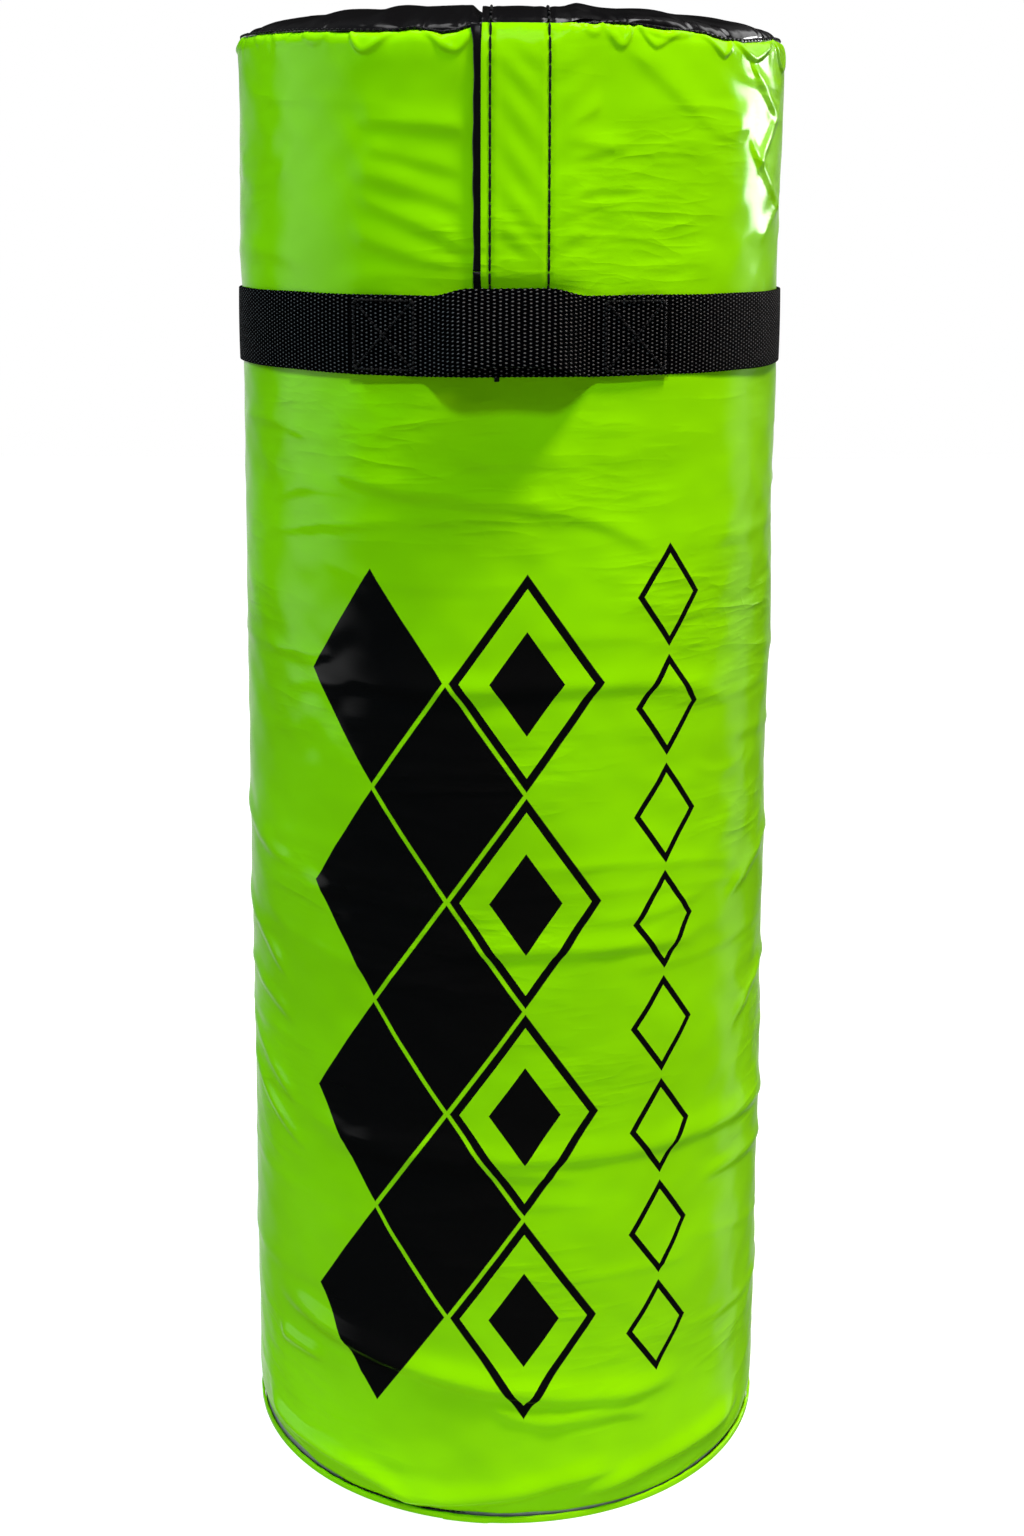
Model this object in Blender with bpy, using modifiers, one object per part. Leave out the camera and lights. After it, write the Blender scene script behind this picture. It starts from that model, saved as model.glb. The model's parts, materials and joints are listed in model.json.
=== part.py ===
"""Tackling bag: a lime foam cylinder with a domed black lid, a webbing belt with a grab handle, and a
hook-and-loop closure strip that runs up the front and over the lid.

Units are metres, +Z is up, the floor is Z = 0 and the front faces -Y. Places round the bag are given as an
arc along the cover from the front line (positive towards +X) and a rise above the cover's face.
"""
import math

import bmesh
import bpy
from mathutils import Matrix, Vector

# Whole bag
COVER_RADIUS = 0.1875
RIM_HEIGHT = 0.993
COVER_WALL = 0.001
GAP = 0.0003
MERGE_DISTANCE = 0.00001

# Foam
CORE_RADIUS = 0.120
BASE_PAD_HEIGHT = 0.025
TOP_PAD_HEIGHT = 0.025

# Cover edges
SHOULDER_INSET = 0.004
SHOULDER_HEIGHT = 0.008
FOOT_INSET = 0.0012
FOOT_ROUND_HEIGHT = 0.011
BINDING_HEIGHT = 0.0038
BINDING_LIFT = 0.0002
SEAM_THREAD_WIDTH = 0.0016
SEAM_THREAD_HEIGHT = 0.0006

# Lid
LID_RISE = 0.0282
LID_SQUARENESS = 2.6
WELT_RADIUS = 0.0022
WELT_THREAD_WIDTH = 0.0008
WELT_THREAD_HEIGHT = 0.0005

# Closure strip
STRIP_LEFT = -0.0185
HINGE_ARC = 0.026
STRIP_SHEET = 0.0008
FACING_WIDTH = 0.003
TAPE_THICKNESS = 0.0012
TAPE_LEFT = -0.016
TAPE_RIGHT = 0.019
TAPE_END_MARGIN = 0.010
HINGE_SETBACK = 0.0002
ROOT_LENGTH = 0.034
ROOT_EDGE = 0.0003
STITCH_OUTER_ARC = -0.012
STITCH_INNER_ARC = 0.0235
STITCH_PITCH = 0.0084
THREAD_RADIUS = 0.00035
THREAD_DIP = 0.00015
SLIT_ARC = 0.022
SLIT_WIDTH = 0.002
SLIT_START_RISE = 0.008
SLIT_END_BACK = 0.050
STRIP_END_BACK = 0.060
STRIP_OVER_RIM = 0.0035
STRIP_CROWN_CLEAR = 0.0003
STRIP_SQUARENESS = 2.45
TAIL_TUCK = 0.0015
TACK_ARC = -0.0078
TACK_WIDTH = 0.0037
TACK_HEIGHT = 0.0019

# Belt
WEBBING_WIDTH = 0.050
WEBBING_THICKNESS = 0.002
BELT_LOW = 0.783
BELT_LAP = 0.060
BELT_JOINT_ANGLE = math.radians(150)
BELT_RAMP = 0.010

# Back seam
BACK_SEAM_WIDTH = 0.020
BACK_SEAM_SHEET = 0.0008
BACK_THREAD_WIDTH = 0.001
BACK_THREAD_HEIGHT = 0.0004
BACK_THREAD_OFFSET = 0.006

# Handle
BOX_NEAR_ARC = 0.0555
BOX_LENGTH = 0.0475
BOX_STITCH_INSET = 0.0035
BOX_STITCH_LINE = 0.001
BOX_STITCH_HEIGHT = 0.0004
GRIP_STANDOFF = 0.022
GRIP_FLAT_HALF = 0.022
GRIP_SPLIT_HALF = 0.032
GRIP_AXIS_DEPTH = 0.0075
GRIP_REST_ANGLE = math.radians(12.6)
GRIP_LIFT_ANGLE = math.radians(12)
GRIP_CLEARANCE = 0.004

# Fineness of the solids: counts and shares
ROUND_STEPS = 64
BELT_STEPS = 96
WELT_SIDES = 6
SHOULDER_STEPS = 4
FOOT_STEPS = 2
LID_STEPS = 8
PAD_STEPS = 4
PAD_SHOULDER_STEPS = 2
ARCH_STEPS = 12
ROOT_TOP_SHARE = 0.9
SLOPE_STEPS = 3

# Worked out from the sizes above
FOAM_RADIUS = COVER_RADIUS - COVER_WALL - GAP
WRAP_BORE = CORE_RADIUS + GAP
FOAM_LOW = COVER_WALL + GAP + BASE_PAD_HEIGHT + GAP
TOP_PAD_LOW = RIM_HEIGHT - TOP_PAD_HEIGHT
FOAM_TOP = TOP_PAD_LOW - GAP
LID_BASE = RIM_HEIGHT + GAP
WELT_RING = COVER_RADIUS - SHOULDER_INSET - COVER_WALL / 2
WELT_CENTRE = LID_BASE + WELT_RADIUS
LID_RADIUS = WELT_RING - WELT_RADIUS - GAP
BINDING_TOP = BINDING_LIFT + BINDING_HEIGHT
SEAM_THREAD_LOW = BINDING_TOP + GAP
COVER_LOW = SEAM_THREAD_LOW + SEAM_THREAD_HEIGHT + GAP
HOOK_LOW = GAP
HOOK_TOP = HOOK_LOW + TAPE_THICKNESS
LOOP_LOW = HOOK_TOP + GAP
LOOP_TOP = LOOP_LOW + TAPE_THICKNESS
SHEET_LOW = LOOP_TOP + GAP
SHEET_TOP = SHEET_LOW + STRIP_SHEET
HINGE_RISE = (SHEET_LOW + SHEET_TOP) / 2
FACING_RIGHT = STRIP_LEFT - GAP
FACING_LEFT = FACING_RIGHT - FACING_WIDTH
FLAP_RIGHT = HINGE_ARC - HINGE_SETBACK
ROOT_LEFT = HINGE_ARC + math.hypot(HINGE_SETBACK, STRIP_SHEET / 2) + GAP
ROOT_RIGHT = ROOT_LEFT + ROOT_LENGTH
TAIL_RIGHT = ROOT_LEFT - GAP
STRIP_TOP = RIM_HEIGHT + STRIP_OVER_RIM
BELT_TOP = BELT_LOW + WEBBING_WIDTH
BELT_MIDDLE = BELT_LOW + WEBBING_WIDTH / 2
BELT_FACE = GAP + WEBBING_THICKNESS
TAIL_SHEET_TOP = GAP + STRIP_SHEET
TAIL_BELT_RISE = TAIL_SHEET_TOP + GAP
BACK_THREAD_LOW = GAP + BACK_SEAM_SHEET + GAP
BACK_BELT_RISE = BACK_THREAD_LOW + BACK_THREAD_HEIGHT + GAP
LAP_RISE = BELT_FACE + GAP
ANCHOR_LOW = BELT_FACE + GAP
ANCHOR_FACE = ANCHOR_LOW + WEBBING_THICKNESS
BOX_FAR_ARC = BOX_NEAR_ARC + BOX_LENGTH
GRIP_AXIS_Y = GRIP_AXIS_DEPTH - COVER_RADIUS
GRIP_REACH = GRIP_AXIS_DEPTH + GRIP_STANDOFF + WEBBING_THICKNESS
RAISED_ANGLE = GRIP_REST_ANGLE + GRIP_LIFT_ANGLE
RAISED_TOP = (BELT_MIDDLE + GRIP_REACH * math.sin(RAISED_ANGLE)
              + WEBBING_WIDTH / 2 * math.cos(RAISED_ANGLE))
FLAP_LOW = RAISED_TOP + GRIP_CLEARANCE
TAIL_TOP = FLAP_LOW - GAP
SLIT_LOW = BELT_TOP + SLIT_START_RISE
TAPE_LOW = FLAP_LOW + TAPE_END_MARGIN
TAPE_TOP = RIM_HEIGHT - TAPE_END_MARGIN
STRIP_RADIUS = COVER_RADIUS + SHEET_LOW
STRIP_BASE = STRIP_TOP + GAP
STRIP_RISE = LID_BASE + LID_RISE + SHEET_LOW + STRIP_CROWN_CLEAR - STRIP_BASE


def clear_scene():
    """Removes every object of the scene that the script starts in."""
    for obj in list(bpy.data.objects):
        bpy.data.objects.remove(obj)


def make_material(name, colour, roughness):
    """A plain Principled BSDF finish."""
    material = bpy.data.materials.new(name)
    material.use_nodes = True
    shader = material.node_tree.nodes["Principled BSDF"]
    shader.inputs["Base Color"].default_value = (*colour, 1)
    shader.inputs["Roughness"].default_value = roughness
    shader.inputs["Metallic"].default_value = 0
    return material


def make_materials():
    """All the finishes, by name."""
    return {
        "lime_cover": make_material("lime_cover", (0.28, 0.68, 0.01), 0.35),
        "black_cover": make_material("black_cover", (0.012, 0.012, 0.015), 0.25),
        "webbing": make_material("webbing", (0.015, 0.015, 0.017), 0.8),
        "thread": make_material("thread", (0.01, 0.01, 0.01), 0.6),
        "hook_tape": make_material("hook_tape", (0.03, 0.03, 0.03), 0.9),
        "firm_foam": make_material("firm_foam", (0.35, 0.36, 0.38), 0.95),
        "soft_foam": make_material("soft_foam", (0.75, 0.74, 0.68), 0.95),
    }


def add_object(name, data, material, group, parent=None):
    """Links one piece to the bag's collection, and hangs it from its hinge if it moves."""
    obj = bpy.data.objects.new(name, data)
    data.materials.append(material)
    group.objects.link(obj)
    if parent is not None:
        obj.parent = parent
        obj.matrix_parent_inverse = Matrix.Translation(parent.location).inverted()
    return obj


def add_hinge(name, place, group):
    """An empty on a hinge's axis."""
    empty = bpy.data.objects.new(name, None)
    empty.location = place
    group.objects.link(empty)
    return empty


def turned(name, profile, material, group, closed=False):
    """A body turned round Z from (radius, height) points that run down its outer side."""
    mesh = bpy.data.meshes.new(name)
    points = [(radius, 0, height) for radius, height in profile]
    edges = [(i, i + 1) for i in range(len(points) - 1)]
    if closed:
        edges.append((len(points) - 1, 0))
    mesh.from_pydata(points, edges, [])
    obj = add_object(name, mesh, material, group)
    screw = obj.modifiers.new("turn", "SCREW")
    screw.angle = math.tau
    screw.steps = ROUND_STEPS
    screw.render_steps = ROUND_STEPS
    screw.use_merge_vertices = True
    screw.merge_threshold = MERGE_DISTANCE
    screw.use_smooth_shade = True
    return obj


def on_cover(arc, rise, height):
    """The point this far round the cover from the front line, and this far off its face."""
    angle = arc / COVER_RADIUS
    radius = COVER_RADIUS + rise
    return Vector((radius * math.sin(angle), -radius * math.cos(angle), height))


def cut_across(bm, axis, places):
    """Cuts the mesh by a plane square to an axis at each place."""
    normal = Vector((0, 0, 0))
    normal[axis] = 1
    for place in places:
        geometry = bm.verts[:] + bm.edges[:] + bm.faces[:]
        bmesh.ops.bisect_plane(bm, geom=geometry, plane_co=normal * place, plane_no=normal)


def even_places(low, high, steps):
    """The inner places of a span cut into even steps."""
    return [low + (high - low) * i / steps for i in range(1, steps)]


def flat_block(low, high, cuts):
    """A block between two corners, cut square to its axes at the given places."""
    bm = bmesh.new()
    bmesh.ops.create_cube(bm, size=1)
    low, high = Vector(low), Vector(high)
    bmesh.ops.scale(bm, vec=high - low, verts=bm.verts)
    bmesh.ops.translate(bm, vec=(low + high) / 2, verts=bm.verts)
    for axis, places in cuts.items():
        cut_across(bm, axis, places)
    return bm


def face_outwards(bm):
    """Turns a closed body's faces outwards."""
    bmesh.ops.recalc_face_normals(bm, faces=bm.faces)
    if bm.calc_volume(signed=True) < 0:
        bmesh.ops.reverse_faces(bm, faces=bm.faces)


def finish_mesh(bm, name, bend):
    """Bends a flat block into place and returns it as a mesh with its faces outwards."""
    for vert in bm.verts:
        vert.co = bend(*vert.co)
    face_outwards(bm)
    mesh = bpy.data.meshes.new(name)
    bm.to_mesh(mesh)
    bm.free()
    return mesh


def arc_steps(low, high):
    """How many even steps a span round the cover needs."""
    return max(1, math.ceil((high - low) / (math.tau * COVER_RADIUS / BELT_STEPS)))


def cover_strip(name, arcs, rises, heights, material, group, parent=None):
    """A sheet of even thickness that lies along the cover."""
    bm = flat_block((arcs[0], rises[0], heights[0]), (arcs[1], rises[1], heights[1]),
                    {0: even_places(*arcs, arc_steps(*arcs))})
    return add_object(name, finish_mesh(bm, name, on_cover), material, group, parent)


def smooth_step(share):
    """Rises from 0 to 1 with level ends."""
    share = min(max(share, 0), 1)
    return share * share * (3 - 2 * share)


def crown_height(radius, base, rise, reach, squareness):
    """The height of a domed surface at this radius."""
    share = min(abs(radius) / reach, 1)
    return base + rise * math.sqrt(1 - share ** squareness)


def crown_profile(base, rise, reach, squareness, steps):
    """(radius, height) points from a dome's middle down to its edge."""
    points = []
    for i in range(steps + 1):
        angle = math.pi / 2 * i / steps
        radius = reach * math.sin(angle) ** (2 / squareness)
        points.append((radius, base + rise * math.cos(angle)))
    points[0] = (0, base + rise)
    points[-1] = (reach, base)
    return points


def shoulder_profile(radius, top, steps):
    """(radius, height) points of the rounded top edge, from its end down to the straight wall."""
    centre_radius = radius - SHOULDER_INSET
    centre_height = top - SHOULDER_HEIGHT
    points = []
    for i in range(steps + 1):
        angle = math.pi / 2 * (1 - i / steps)
        points.append((centre_radius + SHOULDER_INSET * math.cos(angle),
                       centre_height + SHOULDER_HEIGHT * math.sin(angle)))
    return points


def foot_profile(radius, steps):
    """(radius, height) points of the drawn-in foot, from the straight wall down."""
    points = []
    for i in range(steps + 1):
        angle = math.pi / 2 * i / steps
        points.append((radius - FOOT_INSET * (1 - math.cos(angle)),
                       COVER_LOW + FOOT_ROUND_HEIGHT * (1 - math.sin(angle))))
    return points


def make_foam(materials, group):
    """The four foam pieces inside the cover."""
    turned("foam_core", [(0, FOAM_TOP), (CORE_RADIUS, FOAM_TOP), (CORE_RADIUS, FOAM_LOW), (0, FOAM_LOW)],
           materials["firm_foam"], group)
    turned("foam_wrap", [(FOAM_RADIUS, FOAM_TOP), (FOAM_RADIUS, FOAM_LOW), (WRAP_BORE, FOAM_LOW),
                         (WRAP_BORE, FOAM_TOP)], materials["soft_foam"], group, closed=True)
    pad_radius = FOAM_RADIUS - FOOT_INSET
    pad_low = COVER_WALL + GAP
    pad_top = pad_low + BASE_PAD_HEIGHT
    turned("base_pad", [(0, pad_top), (pad_radius, pad_top), (pad_radius, pad_low), (0, pad_low)],
           materials["firm_foam"], group)
    inset = COVER_WALL + GAP
    dome = crown_profile(LID_BASE, LID_RISE - inset, LID_RADIUS - inset, LID_SQUARENESS, PAD_STEPS)
    shoulder = shoulder_profile(FOAM_RADIUS, RIM_HEIGHT - GAP, PAD_SHOULDER_STEPS)
    turned("top_pad", dome + shoulder + [(FOAM_RADIUS, TOP_PAD_LOW), (0, TOP_PAD_LOW)],
           materials["soft_foam"], group)


def slit_cutter(cutters):
    """The block that parts the cover along the closure slit, up the front and over the lid."""
    overrun = COVER_RADIUS
    centre = on_cover(SLIT_ARC, 0, 0).x
    low = (centre - SLIT_WIDTH / 2, -COVER_RADIUS - overrun, SLIT_LOW)
    high = (centre + SLIT_WIDTH / 2, SLIT_END_BACK, RIM_HEIGHT + LID_RISE + overrun)
    bm = flat_block(low, high, {})
    face_outwards(bm)
    mesh = bpy.data.meshes.new("slit_cutter")
    bm.to_mesh(mesh)
    bm.free()
    cutter = bpy.data.objects.new("slit_cutter", mesh)
    cutter.hide_render = True
    cutter.display_type = "WIRE"
    cutters.objects.link(cutter)
    return cutter


def cut_slit(obj, cutter):
    """Opens the closure slit in one piece of the cover."""
    cut = obj.modifiers.new("slit", "BOOLEAN")
    cut.operation = "DIFFERENCE"
    cut.object = cutter


def make_cover(materials, group, cutter):
    """The side, the base with its binding, and their seams."""
    inner = COVER_RADIUS - COVER_WALL
    outside = (shoulder_profile(COVER_RADIUS, RIM_HEIGHT, SHOULDER_STEPS)
               + foot_profile(COVER_RADIUS, FOOT_STEPS))
    inside = (shoulder_profile(inner, RIM_HEIGHT, SHOULDER_STEPS)
              + foot_profile(inner, FOOT_STEPS))
    side = turned("cover_side", outside + inside[::-1], materials["lime_cover"], group, closed=True)
    cut_slit(side, cutter)
    base_radius = FOAM_RADIUS - FOOT_INSET
    turned("cover_base", [(0, COVER_WALL), (base_radius, COVER_WALL), (base_radius, 0), (0, 0)],
           materials["lime_cover"], group)
    binding_bore = base_radius + GAP
    corner = (COVER_RADIUS - binding_bore) / 4
    middle = BINDING_LIFT + BINDING_HEIGHT / 2
    turned("base_binding", [(binding_bore, BINDING_TOP), (COVER_RADIUS - corner, BINDING_TOP),
                            (COVER_RADIUS, middle), (COVER_RADIUS - corner, BINDING_LIFT),
                            (binding_bore, BINDING_LIFT)],
           materials["lime_cover"], group, closed=True)
    thread_outer = COVER_RADIUS - FOOT_INSET / 2
    thread_inner = thread_outer - SEAM_THREAD_WIDTH / 2
    thread_top = SEAM_THREAD_LOW + SEAM_THREAD_HEIGHT
    turned("base_seam_thread", [(thread_outer, thread_top), (thread_outer, SEAM_THREAD_LOW),
                                (thread_inner, SEAM_THREAD_LOW), (thread_inner, thread_top)],
           materials["thread"], group, closed=True)


def make_lid(materials, group, cutter):
    """The domed lid, its rolled rim seam and the seam's stitching."""
    outer = crown_profile(LID_BASE, LID_RISE, LID_RADIUS, LID_SQUARENESS, LID_STEPS)
    inner = crown_profile(LID_BASE, LID_RISE - COVER_WALL, LID_RADIUS - COVER_WALL, LID_SQUARENESS,
                          LID_STEPS)
    cut_slit(turned("lid_panel", outer + inner[::-1], materials["black_cover"], group), cutter)
    section = []
    for i in range(WELT_SIDES):
        angle = -math.tau * (i + 0.5) / WELT_SIDES
        section.append((WELT_RING + WELT_RADIUS * math.cos(angle),
                        WELT_CENTRE + WELT_RADIUS * math.sin(angle)))
    cut_slit(turned("lid_welt", section, materials["black_cover"], group, closed=True), cutter)
    low = WELT_CENTRE + WELT_RADIUS + GAP
    high = low + WELT_THREAD_HEIGHT
    outer_edge = WELT_RING + WELT_THREAD_WIDTH / 2
    inner_edge = WELT_RING - WELT_THREAD_WIDTH / 2
    stitching = turned("lid_seam_thread", [(outer_edge, high), (outer_edge, low), (inner_edge, low),
                                           (inner_edge, high)], materials["thread"], group, closed=True)
    cut_slit(stitching, cutter)


def thread_row(name, points, material, group, parent=None):
    """A row of stitches: one thread that dips at each needle hole."""
    curve = bpy.data.curves.new(name, "CURVE")
    curve.dimensions = "3D"
    curve.bevel_depth = THREAD_RADIUS
    curve.bevel_resolution = 0
    curve.use_fill_caps = True
    spline = curve.splines.new("POLY")
    spline.points.add(len(points) - 1)
    for place, point in zip(spline.points, points):
        place.co = (*point, 1)
    return add_object(name, curve, material, group, parent)


def stitched_heights(low, high, pitch):
    """(height, dip) for each crest and needle hole of a row of stitches, with level ends."""
    count = max(1, round((high - low) / pitch))
    step = (high - low) / count
    places = [(low, 0)]
    for i in range(1, count):
        places.append((low + (i - 0.5) * step, 0))
        places.append((low + i * step, THREAD_DIP))
    places.append((high, 0))
    return places


def make_front_flap(materials, group, hinge):
    """The moving front of the closure strip, with its facing, loop tape and two rows of stitches."""
    heights = (FLAP_LOW, STRIP_TOP)
    cover_strip("flap_front", (STRIP_LEFT, FLAP_RIGHT), (SHEET_LOW, SHEET_TOP), heights,
                materials["lime_cover"], group, hinge)
    cover_strip("flap_edge_facing", (FACING_LEFT, FACING_RIGHT), (LOOP_LOW, SHEET_TOP), heights,
                materials["black_cover"], group, hinge)
    cover_strip("loop_tape_front", (TAPE_LEFT, TAPE_RIGHT), (LOOP_LOW, LOOP_TOP), (TAPE_LOW, TAPE_TOP),
                materials["hook_tape"], group, hinge)
    rise = SHEET_TOP + GAP + THREAD_DIP + THREAD_RADIUS
    for name, arc in (("flap_stitch_outer", STITCH_OUTER_ARC), ("flap_stitch_inner", STITCH_INNER_ARC)):
        points = [on_cover(arc, rise - dip, height)
                  for height, dip in stitched_heights(*heights, STITCH_PITCH)]
        thread_row(name, points, materials["thread"], group, hinge)


def tail_share(height):
    """0 where the strip's tail lies flat under the belt, 1 where it is up at the flap's level."""
    return smooth_step((height - BELT_TOP) / (TAIL_TOP - BELT_TOP))


def tail_block(name, arcs, top_rises, material, group):
    """A piece of the strip's fixed lower end, flat under the belt and raised to the flap above it."""
    low = BELT_LOW + TAIL_TUCK
    bm = flat_block((arcs[0], 0, low), (arcs[1], 1, TAIL_TOP),
                    {0: even_places(*arcs, arc_steps(*arcs)),
                     2: [BELT_TOP] + even_places(BELT_TOP, TAIL_TOP, SLOPE_STEPS)})

    def bend(arc, share, height):
        lift = tail_share(height)
        inner = GAP + (top_rises[0] - GAP) * lift
        outer = TAIL_SHEET_TOP + (top_rises[1] - TAIL_SHEET_TOP) * lift
        return on_cover(arc, inner + (outer - inner) * share, height)

    return add_object(name, finish_mesh(bm, name, bend), material, group)


def make_fixed_strip(materials, group):
    """The sewn parts of the closure strip: its tail under the belt, its root and the hook tape."""
    tail_block("flap_tail", (STRIP_LEFT, TAIL_RIGHT), (SHEET_LOW, SHEET_TOP), materials["lime_cover"], group)
    tail_block("tail_edge_facing", (FACING_LEFT, FACING_RIGHT), (LOOP_LOW, SHEET_TOP),
               materials["black_cover"], group)
    low = BELT_TOP + GAP
    for name, arc in (("tail_stitch_outer", STITCH_OUTER_ARC), ("tail_stitch_inner", STITCH_INNER_ARC)):
        points = []
        for height in [low] + even_places(BELT_TOP, TAIL_TOP, SLOPE_STEPS) + [TAIL_TOP]:
            level = TAIL_SHEET_TOP + (SHEET_TOP - TAIL_SHEET_TOP) * tail_share(height)
            points.append(on_cover(arc, level + GAP + THREAD_DIP + THREAD_RADIUS, height))
        thread_row(name, points, materials["thread"], group)
    cover_strip("hook_tape_front", (TAPE_LEFT, TAPE_RIGHT), (HOOK_LOW, HOOK_TOP), (TAPE_LOW, TAPE_TOP),
                materials["hook_tape"], group)
    root_low, root_top = BELT_TOP + GAP, RIM_HEIGHT - SHOULDER_HEIGHT
    bm = flat_block((ROOT_LEFT, 0, root_low), (ROOT_RIGHT, 1, root_top),
                    {0: even_places(ROOT_LEFT, ROOT_RIGHT, arc_steps(ROOT_LEFT, ROOT_RIGHT)),
                     2: even_places(BELT_TOP, TAIL_TOP, SLOPE_STEPS) + [TAIL_TOP]})

    def bend(arc, share, height):
        fall = 1 - (arc - ROOT_LEFT) / ROOT_LENGTH
        peak = TAIL_SHEET_TOP + (HINGE_RISE - TAIL_SHEET_TOP) * tail_share(height)
        thickness = ROOT_EDGE + (peak - GAP - ROOT_EDGE) * fall
        return on_cover(arc, GAP + thickness * share, height)

    add_object("flap_root", finish_mesh(bm, "flap_root", bend), materials["lime_cover"], group)
    cover_strip("flap_end_tack", (TACK_ARC - TACK_WIDTH / 2, TACK_ARC + TACK_WIDTH / 2),
                (GAP, TAIL_SHEET_TOP), (BELT_LOW - GAP - TACK_HEIGHT, BELT_LOW - GAP),
                materials["thread"], group)


def over_lid(across, angle, level, base, rise, reach, squareness):
    """A point of an arched sheet: across the bag, at this angle along the arch from its crown."""
    radius = reach * abs(math.sin(angle)) ** (2 / squareness)
    along = math.copysign(radius, angle) * math.sqrt(1 - (across / reach) ** 2)
    height = crown_height(math.hypot(across, along), base, rise, reach, squareness)
    slope_share = radius / reach
    outward = math.copysign(level * slope_share ** squareness, angle)
    upward = level * math.sqrt(1 - slope_share ** (2 * squareness))
    return Vector((across, along + outward, height + upward))


def over_strip(across, angle, level):
    """A point this far off the closure strip's inner face, where it arches over the rim and the lid."""
    return over_lid(across, angle, level, STRIP_BASE, STRIP_RISE, STRIP_RADIUS, STRIP_SQUARENESS)


def over_dome(across, angle, level):
    """A point this far off the lid's own face."""
    return over_lid(across, angle, level, LID_BASE, LID_RISE, LID_RADIUS, LID_SQUARENESS)


def arch_angle(along, reach, squareness):
    """The angle along an arch of the place this far in front of (-) or behind (+) the crown."""
    return math.copysign(math.asin((abs(along) / reach) ** (squareness / 2)), along)


def arched_strip(name, across, angles, levels, bend, material, group, parent=None):
    """A sheet that follows an arch over the lid."""
    steps = math.ceil((angles[1] - angles[0]) / (math.pi / 2 / ARCH_STEPS))
    bm = flat_block((across[0], angles[0], levels[0]), (across[1], angles[1], levels[1]),
                    {0: even_places(*across, arc_steps(*across)), 1: even_places(*angles, steps)})
    return add_object(name, finish_mesh(bm, name, bend), material, group, parent)


def make_lid_flap(materials, group, hinge):
    """The part of the closure strip that goes over the rim and across the lid."""
    front = -math.pi / 2
    back = arch_angle(STRIP_END_BACK, STRIP_RADIUS, STRIP_SQUARENESS)
    arched_strip("lid_flap_panel", (FACING_LEFT, FLAP_RIGHT), (front, back), (0, STRIP_SHEET), over_strip,
                 materials["black_cover"], group, hinge)
    tape_front = -LID_RADIUS + SHOULDER_HEIGHT + TAPE_END_MARGIN
    strip_angles = [arch_angle(place, STRIP_RADIUS, STRIP_SQUARENESS)
                    for place in (tape_front, SLIT_END_BACK)]
    dome_angles = [arch_angle(place, LID_RADIUS, LID_SQUARENESS) for place in (tape_front, SLIT_END_BACK)]
    arched_strip("loop_tape_lid", (TAPE_LEFT, TAPE_RIGHT), strip_angles,
                 (-GAP - TAPE_THICKNESS, -GAP), over_strip, materials["hook_tape"], group, hinge)
    arched_strip("hook_tape_lid", (TAPE_LEFT, TAPE_RIGHT), dome_angles, (HOOK_LOW, HOOK_TOP), over_dome,
                 materials["hook_tape"], group)
    level = STRIP_SHEET + GAP + THREAD_DIP + THREAD_RADIUS
    count = round((STRIP_RADIUS + STRIP_END_BACK) / STITCH_PITCH)
    for name, across in (("lid_flap_stitch_outer", STITCH_OUTER_ARC),
                         ("lid_flap_stitch_inner", STITCH_INNER_ARC)):
        points = [over_strip(across, angle, level - dip)
                  for angle, dip in stitched_heights(front, back, (back - front) / count)]
        thread_row(name, points, materials["thread"], group, hinge)


def make_lid_root(materials, group):
    """The fixed edge of the strip on the lid, which falls away to the lid's own face."""
    front = arch_angle(-LID_RADIUS + SHOULDER_HEIGHT, LID_RADIUS, LID_SQUARENESS)
    back = arch_angle(STRIP_END_BACK, LID_RADIUS, LID_SQUARENESS)
    steps = LID_STEPS * 2
    bm = flat_block((ROOT_LEFT, front, 0), (ROOT_RIGHT, back, 1),
                    {0: even_places(ROOT_LEFT, ROOT_RIGHT, SLOPE_STEPS),
                     1: even_places(front, back, steps)})

    def bend(across, angle, share):
        fall = 1 - (across - ROOT_LEFT) / ROOT_LENGTH
        thickness = ROOT_EDGE + (SHEET_LOW - ROOT_EDGE) * fall * ROOT_TOP_SHARE
        return over_dome(across, angle, GAP + thickness * share)

    add_object("lid_flap_root", finish_mesh(bm, "lid_flap_root", bend), materials["black_cover"], group)


def belt_rise(arc):
    """How far the belt's inner face stands off the cover, over the strip's tail and the back seam."""
    half_turn = math.pi * COVER_RADIUS
    round_arc = (arc + half_turn) % (2 * half_turn) - half_turn
    back_arc = half_turn - abs(round_arc)
    front = max(FACING_LEFT - GAP - round_arc, round_arc - TAIL_RIGHT - GAP, 0)
    back = max(back_arc - BACK_SEAM_WIDTH / 2 - GAP, 0)
    rise = GAP
    rise = max(rise, TAIL_BELT_RISE - (TAIL_BELT_RISE - GAP) * front / BELT_RAMP)
    rise = max(rise, BACK_BELT_RISE - (BACK_BELT_RISE - GAP) * back / BELT_RAMP)
    return rise


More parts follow.
